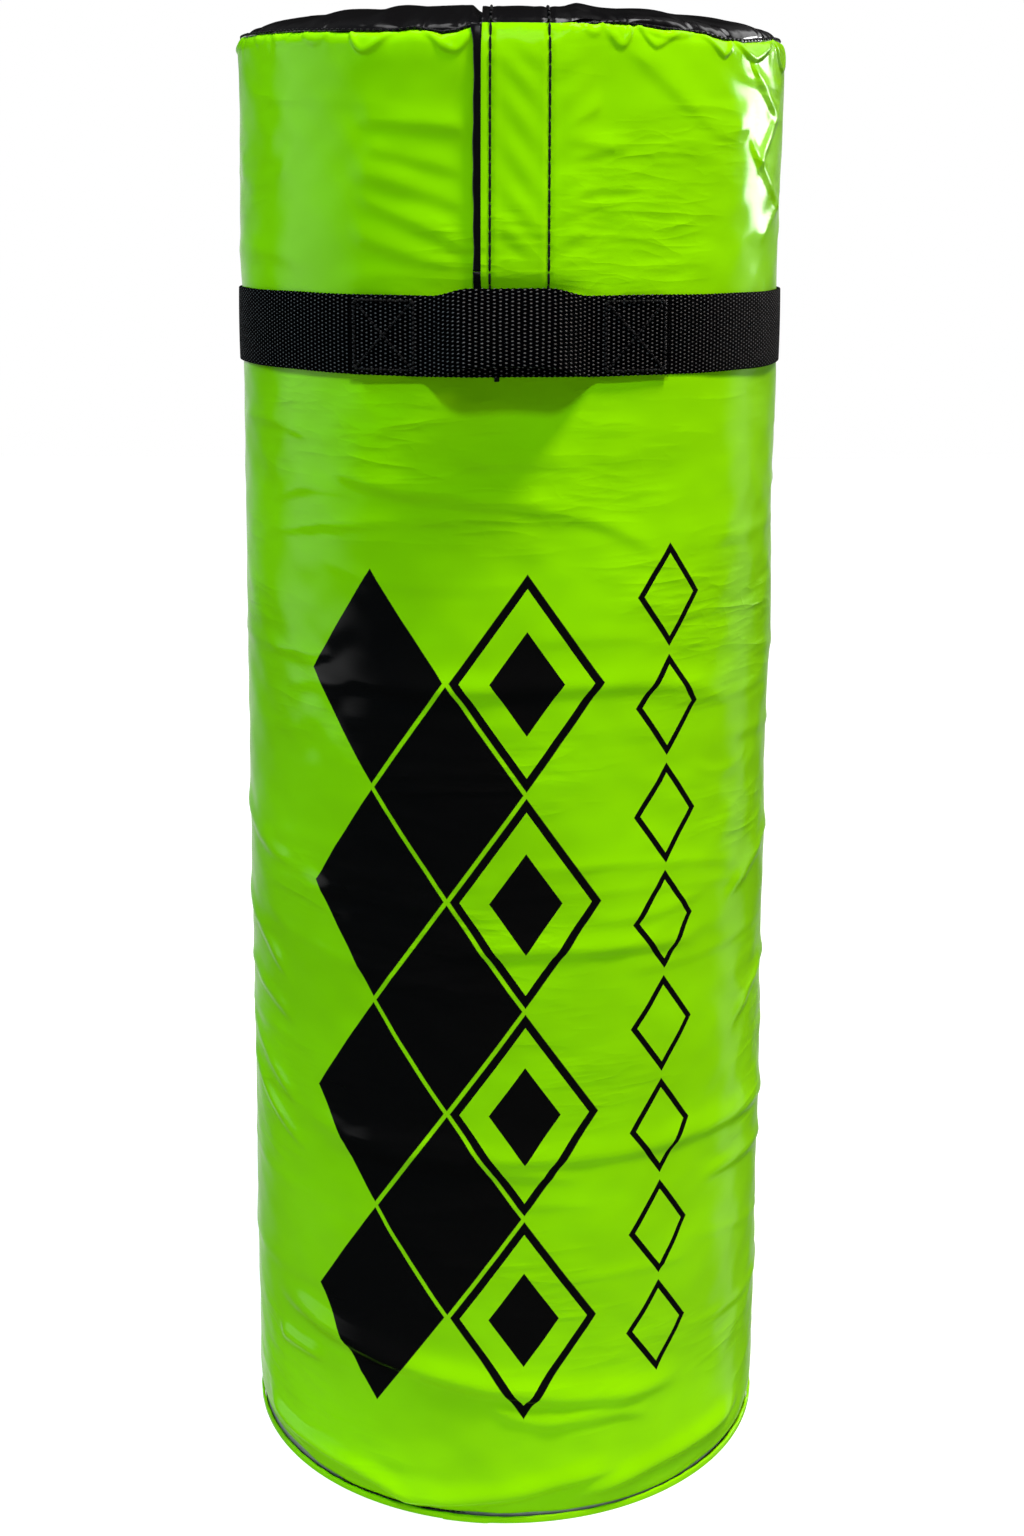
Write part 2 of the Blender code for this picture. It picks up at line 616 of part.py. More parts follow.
def make_belt(materials, group):
    """The belt: one length of webbing whose end laps over its start, behind the right side."""
    start = (BELT_JOINT_ANGLE - math.tau) * COVER_RADIUS
    lap_start = BELT_JOINT_ANGLE * COVER_RADIUS
    end = lap_start + BELT_LAP
    half_turn = math.pi * COVER_RADIUS
    corners = [lap_start - BELT_RAMP, lap_start]
    for edge, side in ((FACING_LEFT - GAP, -1), (TAIL_RIGHT + GAP, 1),
                       (-half_turn + BACK_SEAM_WIDTH / 2 + GAP, 1), (half_turn - BACK_SEAM_WIDTH / 2 - GAP, -1)):
        corners += [edge, edge + side * BELT_RAMP]
    steps = arc_steps(start, end)
    near = (end - start) / steps / 4
    places = [place for place in even_places(start, end, steps)
              if all(abs(place - corner) > near for corner in corners)]
    bm = flat_block((start, 0, BELT_LOW), (end, 1, BELT_TOP),
                    {0: sorted(places + [c for c in corners if start < c < end])})

    def bend(arc, share, height):
        climb = min(max((arc - lap_start + BELT_RAMP) / BELT_RAMP, 0), 1)
        rise = belt_rise(arc) + LAP_RISE * climb
        return on_cover(arc, rise + WEBBING_THICKNESS * share, height)

    add_object("belt", finish_mesh(bm, "belt", bend), materials["webbing"], group)
    face = LAP_RISE + BELT_FACE + GAP
    boxed_cross("belt_joint_stitch", (lap_start, end), face, materials["thread"], group)


def boxed_cross(name, arcs, rise, material, group):
    """A flat box with crossed diagonals, sewn on the webbing's face."""
    centre = (arcs[0] + arcs[1]) / 2
    half_long = (arcs[1] - arcs[0]) / 2 - BOX_STITCH_INSET
    half_high = WEBBING_WIDTH / 2 - BOX_STITCH_INSET
    line = BOX_STITCH_LINE
    hole_long, hole_high = half_long - line, half_high - line
    slant = math.hypot(half_long, half_high)
    notch_long, notch_high = line * slant / half_high / 2, line * slant / half_long / 2
    loops = [[(-half_long, -half_high), (half_long, -half_high), (half_long, half_high),
              (-half_long, half_high)]]
    reach_long, reach_high = hole_long - notch_long, hole_high - notch_high
    for side in (-1, 1):
        loops.append([(side * hole_long, -reach_high), (side * hole_long, reach_high), (side * notch_long, 0)])
        loops.append([(-reach_long, side * hole_high), (reach_long, side * hole_high), (0, side * notch_high)])
    curve = bpy.data.curves.new(name, "CURVE")
    curve.dimensions = "2D"
    curve.fill_mode = "BOTH"
    curve.extrude = BOX_STITCH_HEIGHT / 2
    for loop in loops:
        spline = curve.splines.new("POLY")
        spline.points.add(len(loop) - 1)
        spline.use_cyclic_u = True
        for place, point in zip(spline.points, loop):
            place.co = (*point, 0, 1)
    flat = bpy.data.objects.new(name, curve)
    bpy.context.scene.collection.objects.link(flat)
    graph = bpy.context.evaluated_depsgraph_get()
    mesh = bpy.data.meshes.new_from_object(flat.evaluated_get(graph))
    bpy.data.objects.remove(flat)
    bm = bmesh.new()
    bm.from_mesh(mesh)
    bpy.data.meshes.remove(mesh)
    bmesh.ops.remove_doubles(bm, verts=bm.verts, dist=MERGE_DISTANCE)
    cut_across(bm, 0, even_places(-half_long, half_long, arc_steps(-half_long, half_long) * 2))

    def bend(across, height, level):
        return on_cover(centre + across, rise + BOX_STITCH_HEIGHT / 2 + level, BELT_MIDDLE + height)

    return add_object(name, finish_mesh(bm, name, bend), material, group)


def handle_point(arc, share, height):
    """A point of the handle's webbing: flat on the belt at its ends, and standing off between them."""
    away = smooth_step((BOX_NEAR_ARC - abs(arc)) / (BOX_NEAR_ARC - GRIP_FLAT_HALF))
    rise = ANCHOR_LOW + (GRIP_STANDOFF - ANCHOR_LOW) * away + WEBBING_THICKNESS * share
    point = on_cover(arc, rise, height)
    axis = Vector((point.x, GRIP_AXIS_Y, BELT_MIDDLE))
    return axis + Matrix.Rotation(-GRIP_REST_ANGLE * away, 3, "X") @ (point - axis)


def handle_piece(name, arcs, trims, material, group, parent=None):
    """A length of the handle, cut square to X at each trim: (place, side to keep)."""
    steps = arc_steps(*arcs) * 2
    places = even_places(*arcs, steps)
    bm = flat_block((arcs[0], 0, BELT_LOW), (arcs[1], 1, BELT_TOP),
                    {0: places, 2: [BELT_MIDDLE]})
    mesh = finish_mesh(bm, name, handle_point)
    bm = bmesh.new()
    bm.from_mesh(mesh)
    for place, side in trims:
        geometry = bm.verts[:] + bm.edges[:] + bm.faces[:]
        bmesh.ops.bisect_plane(bm, geom=geometry, plane_co=(place, 0, 0), plane_no=(-side, 0, 0),
                               clear_outer=True)
        rim = [edge for edge in bm.edges if edge.is_boundary]
        bmesh.ops.holes_fill(bm, edges=rim, sides=len(rim))
    face_outwards(bm)
    bm.to_mesh(mesh)
    bm.free()
    return add_object(name, mesh, material, group, parent)


def make_handle(materials, group, hinge):
    """The grab handle: two sewn ends and the free grip between them."""
    half = GRIP_SPLIT_HALF
    handle_piece("handle_grip", (-BOX_NEAR_ARC, BOX_NEAR_ARC), ((half, -1), (-half, 1)),
                 materials["webbing"], group, hinge)
    edge = half + GAP
    handle_piece("handle_anchor_right", (0, BOX_FAR_ARC), ((edge, 1),), materials["webbing"], group)
    handle_piece("handle_anchor_left", (-BOX_FAR_ARC, 0), ((-edge, -1),), materials["webbing"], group)
    face = ANCHOR_FACE + GAP
    boxed_cross("handle_box_stitch_right", (BOX_NEAR_ARC, BOX_FAR_ARC), face, materials["thread"], group)
    boxed_cross("handle_box_stitch_left", (-BOX_FAR_ARC, -BOX_NEAR_ARC), face, materials["thread"], group)


def make_back_seam(materials, group):
    """The side's own lap seam down the back, under the belt."""
    centre = math.pi * COVER_RADIUS
    half = BACK_SEAM_WIDTH / 2
    heights = (COVER_LOW + FOOT_ROUND_HEIGHT, RIM_HEIGHT - SHOULDER_HEIGHT)
    cover_strip("back_seam_strip", (centre - half, centre + half), (GAP, GAP + BACK_SEAM_SHEET), heights,
                materials["lime_cover"], group)
    rises = (BACK_THREAD_LOW, BACK_THREAD_LOW + BACK_THREAD_HEIGHT)
    for name, side in (("back_seam_thread_left", 1), ("back_seam_thread_right", -1)):
        middle = centre + side * BACK_THREAD_OFFSET
        cover_strip(name, (middle - BACK_THREAD_WIDTH / 2, middle + BACK_THREAD_WIDTH / 2), rises, heights,
                    materials["thread"], group)


def main():
    clear_scene()
    group = bpy.data.collections.new("tackling_bag")
    cutters = bpy.data.collections.new("cutters")
    for collection in (group, cutters):
        bpy.context.scene.collection.children.link(collection)
    materials = make_materials()
    flap_axis = add_hinge("closure_flap_hinge", on_cover(HINGE_ARC, HINGE_RISE, (FLAP_LOW + STRIP_TOP) / 2),
                          group)
    lid_axis = add_hinge("lid_flap_hinge", over_strip(HINGE_ARC, 0, STRIP_SHEET / 2), group)
    grip_axis = add_hinge("handle_hinge", (0, GRIP_AXIS_Y, BELT_MIDDLE), group)
    cutter = slit_cutter(cutters)
    make_foam(materials, group)
    make_cover(materials, group, cutter)
    make_lid(materials, group, cutter)
    make_fixed_strip(materials, group)
    make_front_flap(materials, group, flap_axis)
    make_lid_flap(materials, group, lid_axis)
    make_lid_root(materials, group)
    make_belt(materials, group)
    make_handle(materials, group, grip_axis)
    make_back_seam(materials, group)


main()
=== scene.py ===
"""Looks of a tackling bag: a lime foam cylinder in coated fabric with a domed black lid.

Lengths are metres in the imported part's frame: +Z up, the floor at Z = 0 and the front towards -Y. A place
on the cover is an arc round it from the front line, positive towards +X, and a height or a depth.
"""
from __future__ import annotations

import json
import logging
import math
from contextlib import contextmanager
from dataclasses import dataclass, field
from enum import Enum
from typing import Callable, Iterable, Iterator, Sequence

import bmesh
import bpy
import numpy as np
from mathutils import Matrix, Vector

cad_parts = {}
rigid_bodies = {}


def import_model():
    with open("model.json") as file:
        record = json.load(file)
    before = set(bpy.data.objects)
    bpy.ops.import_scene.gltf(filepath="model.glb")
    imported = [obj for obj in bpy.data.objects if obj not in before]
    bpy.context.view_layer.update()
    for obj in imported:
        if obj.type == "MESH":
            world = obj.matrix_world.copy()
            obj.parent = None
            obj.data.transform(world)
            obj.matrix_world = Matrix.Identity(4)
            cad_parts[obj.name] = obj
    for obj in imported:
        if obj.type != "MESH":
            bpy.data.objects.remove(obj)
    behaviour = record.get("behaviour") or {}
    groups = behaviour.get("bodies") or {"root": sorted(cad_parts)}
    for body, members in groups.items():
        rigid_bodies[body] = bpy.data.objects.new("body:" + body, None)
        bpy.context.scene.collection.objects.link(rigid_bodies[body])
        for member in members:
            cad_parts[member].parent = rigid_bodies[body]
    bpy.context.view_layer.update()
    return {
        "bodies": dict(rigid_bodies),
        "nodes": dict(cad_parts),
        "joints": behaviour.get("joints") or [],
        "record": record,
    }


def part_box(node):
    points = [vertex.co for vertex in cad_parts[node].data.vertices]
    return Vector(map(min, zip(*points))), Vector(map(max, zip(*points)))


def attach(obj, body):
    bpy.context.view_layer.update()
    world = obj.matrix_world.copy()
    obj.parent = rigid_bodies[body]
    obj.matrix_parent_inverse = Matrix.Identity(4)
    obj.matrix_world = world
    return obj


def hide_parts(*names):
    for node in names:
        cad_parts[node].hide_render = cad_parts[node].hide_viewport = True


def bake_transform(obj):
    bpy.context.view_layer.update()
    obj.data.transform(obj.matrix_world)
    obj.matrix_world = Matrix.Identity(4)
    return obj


LOG = logging.getLogger("tackling_bag")
MERGE = 1e-5  # corners closer than this are one
TINY = 1e-9  # keeps a length of nothing from dividing
SEED = 7

Array = np.ndarray
Place = Callable[[Array, Array], Array]
Colour = tuple[float, float, float]
Body = str | tuple[str, str, Vector, Vector]


class Slot(Enum):
    """The record's material slots."""

    LIME = "lime_cover"
    BLACK = "black_cover"
    WEBBING = "webbing"
    THREAD = "thread"
    HOOK = "hook_tape"
    LOOP = "loop_tape"
    FIRM_FOAM = "firm_foam"
    SOFT_FOAM = "soft_foam"


def smooth(share: Array | float) -> Array | float:
    """Rises from 0 to 1 with level ends, for shares from 0 to 1 and beyond."""
    share = np.clip(share, 0, 1)
    return share * share * (3 - 2 * share)


def window(value: Array, low: float, high: float, fade: float) -> Array:
    """0 up to one value and from another one on, rising to 1 within the fade between them."""
    return smooth((value - low) / fade) * smooth((high - value) / fade)


def bell(distance: Array | float, width: float) -> Array | float:
    """1 at no distance, falling away smoothly over the width."""
    return np.exp(-(distance / width) ** 2)


def domed(share: Array, rise: float, crown: float) -> Array:
    """Heights of a stuffed dome above its edge, by share of its radius: steep there, almost flat inside."""
    share = np.clip(np.abs(share), 0, 1)
    return rise * (1 - share ** 8) ** (1 / 1.2) + crown * np.clip(1 - (share / 0.77) ** 2, 0, None)


def stack(*parts: Array) -> Array:
    """Coordinates as one array of points."""
    return np.stack(np.broadcast_arrays(*parts), axis=-1).astype(float)


def polar(reach: Array | float, angle: Array, height: Array | float) -> Array:
    """Points this far from the bag's axis, at angles from the front line, and this far up."""
    return stack(reach * np.sin(angle), -reach * np.cos(angle), height)


def as_mesh(name: str, bm: bmesh.types.BMesh) -> bpy.types.Mesh:
    """A new mesh of these faces, which are freed.

    Args:
        name: The mesh's name.
        bm: The faces.

    Returns:
        The mesh.
    """
    mesh = bpy.data.meshes.new(name)
    bm.to_mesh(mesh)
    bm.free()
    return mesh


@contextmanager
def edited(mesh: bpy.types.Mesh) -> Iterator[bmesh.types.BMesh]:
    """A mesh's faces, which go back into it at the end.

    Args:
        mesh: The mesh.

    Returns:
        A context that gives the faces.
    """
    bm = bmesh.new()
    bm.from_mesh(mesh)
    yield bm
    bm.to_mesh(mesh)
    bm.free()


def corners_of(mesh: bpy.types.Mesh) -> Array:
    """A mesh's corners, one to a row.

    Args:
        mesh: The mesh.

    Returns:
        The corners.
    """
    points = np.empty(len(mesh.vertices) * 3)
    mesh.vertices.foreach_get("co", points)
    return points.reshape(-1, 3)


def in_scene(name: str, data: bpy.types.ID) -> bpy.types.Object:
    """A new object, linked into the scene.

    Args:
        name: The object's name.
        data: Its mesh, lamp or camera.

    Returns:
        The object.
    """
    obj = bpy.data.objects.new(name, data)
    bpy.context.scene.collection.objects.link(obj)
    return obj


@dataclass(frozen=True)
class Bag:
    """The bag's main sizes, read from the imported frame, and the slit of its closure."""

    radius: float
    rim: float
    belt_low: float
    belt_top: float
    flap_low: float
    grip_axis: Vector
    gap: float = 0.0003
    slit: tuple[float, float] = (0.0208, 0.0228)
    hem: float = 0.004

    @classmethod
    def from_frame(cls, joints: Sequence[dict]) -> "Bag":
        """Reads the sizes.

        Args:
            joints: The frame's joints.

        Returns:
            The bag's sizes.
        """
        side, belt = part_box("cover_side"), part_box("belt")
        axes = {joint["name"]: Vector(joint["pos_m"]) for joint in joints}
        return cls(radius=side[1].x, rim=side[1].z, belt_low=belt[0].z, belt_top=belt[1].z,
                   flap_low=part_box("flap_front")[0].z, grip_axis=axes["handle_hinge"])

    @property
    def belt_middle(self) -> float:
        """Height of the belt's middle."""
        return (self.belt_low + self.belt_top) / 2

    @property
    def half_turn(self) -> float:
        """Arc from the front line to the back seam."""
        return math.pi * self.radius

    @property
    def span(self) -> tuple[float, float]:
        """First and last arc of a whole turn."""
        return -self.half_turn, self.half_turn

    def on_cover(self, arc: Array, rise: Array, height: Array) -> Array:
        """Points this far round the cover, off its face and up.

        Args:
            arc: Arcs from the front line.
            rise: Distances off the cover's face.
            height: Heights above the floor.

        Returns:
            The points.
        """
        return polar(self.radius + np.asarray(rise), np.asarray(arc) / self.radius, height)

    def outward(self, arc: Array, up: float = 0.0) -> Array:
        """Directions away from the axis at these arcs, with this upward part."""
        return polar(1, np.asarray(arc) / self.radius, up)


class Outline:
    """A line from the cover's foot up over the rim to the middle of the lid, turned round the bag's axis.

    A run is the distance along it from the rim: positive down the side, negative over the lid.
    """

    shoulder_inset: float = 0.004
    shoulder_height: float = 0.008
    foot_low: float = 0.0052
    foot_inset: float = 0.0042
    foot_height: float = 0.024
    foot_bulge: float = 0.0012
    lid_reach: float = 0.1808
    lid_rise: float = 0.0173
    lid_crown: float = 0.004

    def __init__(self, bag: Bag) -> None:
        """Lays out the line round this bag.

        Args:
            bag: The bag's sizes.
        """
        self.bag = bag
        self.side = self._measured(self._side_points())
        self.lid = self._measured(self._lid_points())

    def _side_points(self) -> Array:
        """Radius and height from the rim down to the foot.

        Returns:
            The points in order.
        """
        bag = self.bag
        turn = np.linspace(math.pi / 2, 0, 24)
        shoulder = np.stack([bag.radius - self.shoulder_inset * (1 - np.cos(turn)),
                             bag.rim - self.shoulder_height * (1 - np.sin(turn))], axis=1)
        height = np.linspace(bag.rim - self.shoulder_height, self.foot_low, 900)[1:]
        share = np.clip((height - self.foot_low) / self.foot_height, 0, 1)
        drawn_in = self.foot_inset * (1 - np.sqrt(1 - (1 - share) ** 2.4))
        bulge = self.foot_bulge * bell(height - self.foot_low - self.foot_height, self.foot_height)
        wall = np.stack([bag.radius - drawn_in + bulge, height], axis=1)
        return np.concatenate([shoulder, wall])

    def _lid_points(self) -> Array:
        """Radius and height from the rim to the lid's middle.

        Returns:
            The points in order.
        """
        bag = self.bag
        base = bag.rim + bag.gap
        share = 1 - np.linspace(0, 1, 300) ** 2
        seam = [[bag.radius - self.shoulder_inset, bag.rim]]
        height = base + domed(share, self.lid_rise, self.lid_crown)
        return np.concatenate([seam, np.stack([self.lid_reach * share, height], axis=1)])

    @staticmethod
    def _measured(points: Array) -> Array:
        """The points with their distance from the first as a first column."""
        steps = np.hypot(*np.diff(points, axis=0).T)
        return np.column_stack([np.concatenate([[0], np.cumsum(steps)]), points])

    @property
    def side_length(self) -> float:
        """Run from the rim to the foot."""
        return float(self.side[-1, 0])

    @property
    def lid_length(self) -> float:
        """Run from the rim to the lid's middle."""
        return float(self.lid[-1, 0])

    def at(self, run: Array) -> tuple[Array, Array]:
        """Radius and height at these runs.

        Args:
            run: Runs from the rim's seam.

        Returns:
            The radii and the heights.
        """
        run = np.asarray(run, float)
        radius, height = (np.where(run >= 0, np.interp(run, self.side[:, 0], self.side[:, part]),
                                   np.interp(-run, self.lid[:, 0], self.lid[:, part])) for part in (1, 2))
        return radius, height

    def outward(self, run: Array) -> tuple[Array, Array]:
        """Radial and upward parts of the direction square to the line, away from the bag.

        Args:
            run: Runs from the rim's seam.

        Returns:
            The two parts.
        """
        span = 0.0006
        low, high = self.at(np.asarray(run) + span), self.at(np.asarray(run) - span)
        along_r, along_z = high[0] - low[0], high[1] - low[1]
        length = np.maximum(np.hypot(along_r, along_z), TINY)
        return along_z / length, -along_r / length

    def run_at_height(self, height: Array) -> Array:
        """Runs down the side at these heights."""
        return np.interp(-np.asarray(height, float), -self.side[:, 2], self.side[:, 0])

    def run_at_radius(self, radius: Array) -> Array:
        """Runs over the lid at these radii."""
        return -np.interp(-np.asarray(radius, float), -self.lid[:, 1], self.lid[:, 0])


@dataclass
class RimGather:
    """The coated fabric round the rim, gathered where the seam joins the side and the lid.

    The seam is shorter than the fabric that it holds, so a cloth simulation lets the spare fabric puff out
    over the foam. What each place moved by is kept in a table, and every piece near the rim reads it.
    """

    bag: Bag
    line: Outline
    columns: int = 360
    pitch: float = 0.003
    side_run: float = 0.099
    lid_run: float = 0.117
    side_spare: float = 0.055
    lid_spare: float = 0.06
    spare_reach: float = 0.016
    steps: int = 22
    cap: float = 0.0065
    edge_fade: float = 0.03
    ripple_counts: tuple[int, ...] = (37, 53, 71, 89, 113)
    ripple_rise: float = 0.00010
    ripple_reach: float = 0.015
    strip_span: tuple[float, float] = (-0.0335, 0.038)
    strip_fade: float = 0.010
    # (degrees round from the front, millimetres up): the seam's own waves
    seam_waves: tuple[tuple[float, float], ...] = (
        (-180, 1.5), (-150, 3.5), (-120, 2), (-95, 4.5), (-78, 5.5), (-57, 3), (-44, 1.6), (-33, -0.4),
        (-23, -1.9), (-18.6, -0.2), (-13, -3.6), (-7, -1.2), (0, 0.5), (8, 0.5), (14, 1.6), (20.8, 3.2),
        (30.4, 0.9), (41, 0), (47, -2.3), (54, -2.1), (62, 0.4), (73, 3.8), (90, 5), (120, 3), (150, -0.5),
        (165, 2))
    # (degrees round from the front, width in degrees, extra share): places where it bunches most
    bunches: tuple[tuple[float, float, float], ...] = (
        (-13, 5, 1.1), (19, 8, 1.0), (31, 6, 0.5), (50, 9, 0.9), (66, 8, 1.0), (-70, 12, 0.3), (-40, 14, 0.2),
        (100, 14, 0.7), (140, 12, 0.5), (-120, 14, 0.6), (-155, 10, 0.8))
    # How the fabric behaves while it settles
    behaviour: tuple[tuple[str, float], ...] = (
        ("quality", 7), ("mass", 0.2), ("tension_stiffness", 30), ("compression_stiffness", 30),
        ("shear_stiffness", 12), ("bending_stiffness", 0.6), ("use_pressure", True),
        ("uniform_pressure_force", 3.0))
    table: Array | None = None

    @property
    def rows(self) -> int:
        """Rows of the table, from the lid's side of it to the foot's."""
        return round((self.side_run + self.lid_run) / self.pitch) + 1

    @property
    def seam_row(self) -> int:
        """The row that the seam holds."""
        return round(self.lid_run / self.pitch)

    def _grid(self) -> tuple[Array, Array]:
        """Arcs and runs of the table's places, by column and row.

        Returns:
            The arcs and the runs.
        """
        arcs = -self.bag.half_turn + np.arange(self.columns) * 2 * self.bag.half_turn / self.columns
        runs = (np.arange(self.rows) - self.seam_row) * self.pitch
        return np.meshgrid(arcs, runs, indexing="ij")

    def _spare(self, arc: Array, run: Array) -> Array:
        """Share by which the fabric is longer round the bag than its place.

        Args:
            arc: Arcs from the front line.
            run: Runs from the rim's seam.

        Returns:
            The shares.
        """
        degrees = np.degrees(arc / self.bag.radius)
        share = np.ones_like(degrees)
        for centre, width, extra in self.bunches:
            share += extra * bell((degrees - centre + 180) % 360 - 180, width)
        most = np.where(run > 0, self.side_spare, self.lid_spare)
        reach = np.where(run > 0, self.spare_reach, self.spare_reach * 1.8)
        return most * share * np.exp(-np.abs(run) / reach)

    def _waves(self, arc: Array, run: Array) -> Array:
        """How far the seam's waves lift each place.

        Args:
            arc: Arcs from the front line.
            run: Runs from the rim's seam.

        Returns:
            The lifts.
        """
        degrees = np.degrees(arc / self.bag.radius)
        places, lifts = zip(*self.seam_waves)
        lift = np.interp(degrees, places, lifts, period=360) / 1000
        reach = np.where(run > 0, 0.030, 0.022)
        return lift * np.exp(-(run / reach) ** 2)

    def _start(self, arc: Array, run: Array) -> Array:
        """Points of the fabric before it gathers.

        Args:
            arc: Arcs from the front line.
            run: Runs from the rim's seam.

        Returns:
            The points.
        """
        radius, height = self.line.at(run)
        rng = np.random.default_rng(SEED)
        ripple = np.zeros_like(arc)
        for count in self.ripple_counts:
            phase, lean = rng.uniform(0, math.tau), rng.uniform(-60, 60)
            ripple += np.cos(count * arc / self.bag.radius + phase + lean * run)
        ripple *= (self.ripple_rise * np.exp(-np.abs(run) / self.ripple_reach)
                   * (np.abs(run) > self.pitch / 2))
        return polar(radius + ripple, arc / self.bag.radius, height + self._waves(arc, run))

    def _fabric(self, start: Array) -> tuple[bpy.types.Mesh, Array, Array]:
        """The fabric as a closed ring.

        Args:
            start: Where its points begin, by column and row.

        Returns:
            Its mesh, and the column and the row of each of the mesh's corners.
        """
        bm = bmesh.new()
        bmesh.ops.create_grid(bm, x_segments=self.columns, y_segments=self.rows - 1, size=1)
        mesh = as_mesh("gathering_fabric", bm)
        share = (corners_of(mesh) + 1) / 2
        column = np.rint(share[:, 0] * self.columns).astype(int) % self.columns
        row = np.rint(share[:, 1] * (self.rows - 1)).astype(int)
        mesh.vertices.foreach_set("co", start[column, row].ravel())
        with edited(mesh) as bm:
            place = bm.verts.layers.int.new("place")
            for vert, code in zip(bm.verts, column * self.rows + row):
                vert[place] = int(code)
            bmesh.ops.remove_doubles(bm, verts=bm.verts, dist=MERGE)
            bmesh.ops.recalc_face_normals(bm, faces=bm.faces)
            codes = np.array([vert[place] for vert in bm.verts])
        return mesh, codes // self.rows, codes % self.rows

    def _simulate(self, start: Array, rest: Array) -> Array:
        """Lets the fabric settle.

        Args:
            start: Where its points begin, by column and row.
            rest: Its points at the size that it was cut to.

        Returns:
            Where its points end.
        """
        mesh, column, row = self._fabric(start)
        fabric = in_scene("gathering_fabric", mesh)
        held = np.flatnonzero((row == self.seam_row) | (row == 0) | (row == self.rows - 1))
        fabric.vertex_groups.new(name="held").add(held.tolist(), 1, "REPLACE")
        fabric.shape_key_add(name="Basis")
        cut = fabric.shape_key_add(name="cut")
        cut.data.foreach_set("co", rest[column, row].ravel())
        cloth = fabric.modifiers.new("cloth", "CLOTH")
        for name, value in self.behaviour:
            setattr(cloth.settings, name, value)
        cloth.settings.vertex_group_mass = "held"
        cloth.settings.rest_shape_key = cut
        cloth.settings.effector_weights.gravity = 0
        cloth.point_cache.frame_start = 1
        cloth.point_cache.frame_end = self.steps
        for step in range(1, self.steps + 1):
            bpy.context.scene.frame_set(step)
        end = start.copy()
        end[column, row] = corners_of(fabric.evaluated_get(bpy.context.evaluated_depsgraph_get()).data)
        bpy.data.objects.remove(fabric)
        bpy.context.scene.frame_set(1)
        return end

    def gather(self) -> None:
        """Fills the table with how far each place moves: outwards, round the bag and up."""
        arc, run = self._grid()
        start = self._start(arc, run)
        scale = 1 + self._spare(arc, run)
        end = self._simulate(start, start * stack(scale, scale, 1))
        radius, height = self.line.at(run)
        angle = arc / self.bag.radius
        move = end - start
        length = np.linalg.norm(move, axis=-1, keepdims=True)
        move *= self.cap * np.tanh(length / self.cap) / np.maximum(length, TINY)
        move += start - polar(radius, angle, height)
        edge = np.minimum(self.side_run - run, run + self.lid_run)
        free = 1 - window(arc, *self.strip_span, self.strip_fade)
        move *= (smooth(edge / self.edge_fade) * free)[..., None]
        outward = move[..., 0] * np.sin(angle) - move[..., 1] * np.cos(angle)
        around = move[..., 0] * np.cos(angle) + move[..., 1] * np.sin(angle)
        self.table = np.stack([outward, around, move[..., 2]], axis=-1)
        LOG.info("rim gathered: most %.1f mm", 1000 * np.abs(self.table).max())

    def moved(self, arc: Array, run: Array) -> Array:
        """How far these places move.

        Args:
            arc: Arcs from the front line.
            run: Runs from the rim.

        Returns:
            Distances outwards, round the bag and up, on the last axis.
        """
        column = (np.asarray(arc, float) / (2 * self.bag.half_turn) + 0.5) * self.columns
        row = np.clip(np.asarray(run, float) / self.pitch + self.seam_row, 0, self.rows - 1)
        column, row = np.broadcast_arrays(column, row)
        first_column, first_row = np.floor(column).astype(int), np.floor(row).astype(int)
        across, along = _four_weights(column - first_column), _four_weights(row - first_row)
        total = np.zeros(column.shape + (3,))
        for i in range(4):
            at_column = (first_column + i - 1) % self.columns
            for j in range(4):
                at_row = np.clip(first_row + j - 1, 0, self.rows - 1)
                total += (across[i] * along[j])[..., None] * self.table[at_column, at_row]
        return total


def _four_weights(share: Array) -> list[Array]:
    """Weights of four even places for a smooth curve between the middle two.

    Args:
        share: Shares of the way between the middle two.

    Returns:
        The weights.
    """
    square, cube = share ** 2, share ** 3
    return [(-share + 2 * square - cube) / 2, (2 - 5 * square + 3 * cube) / 2,
            (share + 4 * square - 3 * cube) / 2, (cube - square) / 2]


@dataclass(frozen=True)
class Fold:
    """A soft fold in the cover along a line of arcs and heights, sharper below than above."""

    places: tuple[tuple[float, float], ...]
    width: float
    rise: float

    def lift(self, arc: Array, height: Array, turn: float) -> Array:
        """How far it stands out.

        Args:
            arc: Arcs from the front line.
            height: Heights above the floor.
            turn: Arc of a whole turn.

        Returns:
            Distances outwards.
        """
        arcs, heights = np.array(self.places).T
        middle, half = (arcs[0] + arcs[-1]) / 2, (arcs[-1] - arcs[0]) / 2
        curve = np.polyfit((arcs - middle) / half, heights, min(3, len(arcs) - 1))
        share = np.clip(((arc - middle + turn / 2) % turn - turn / 2) / half, -1.3, 1.3)
        away = height - np.polyval(curve, share)
        profile = bell(away, np.where(away > 0, self.width, 0.45 * self.width))
        return self.rise * profile * smooth((1.25 - np.abs(share)) / 0.5)


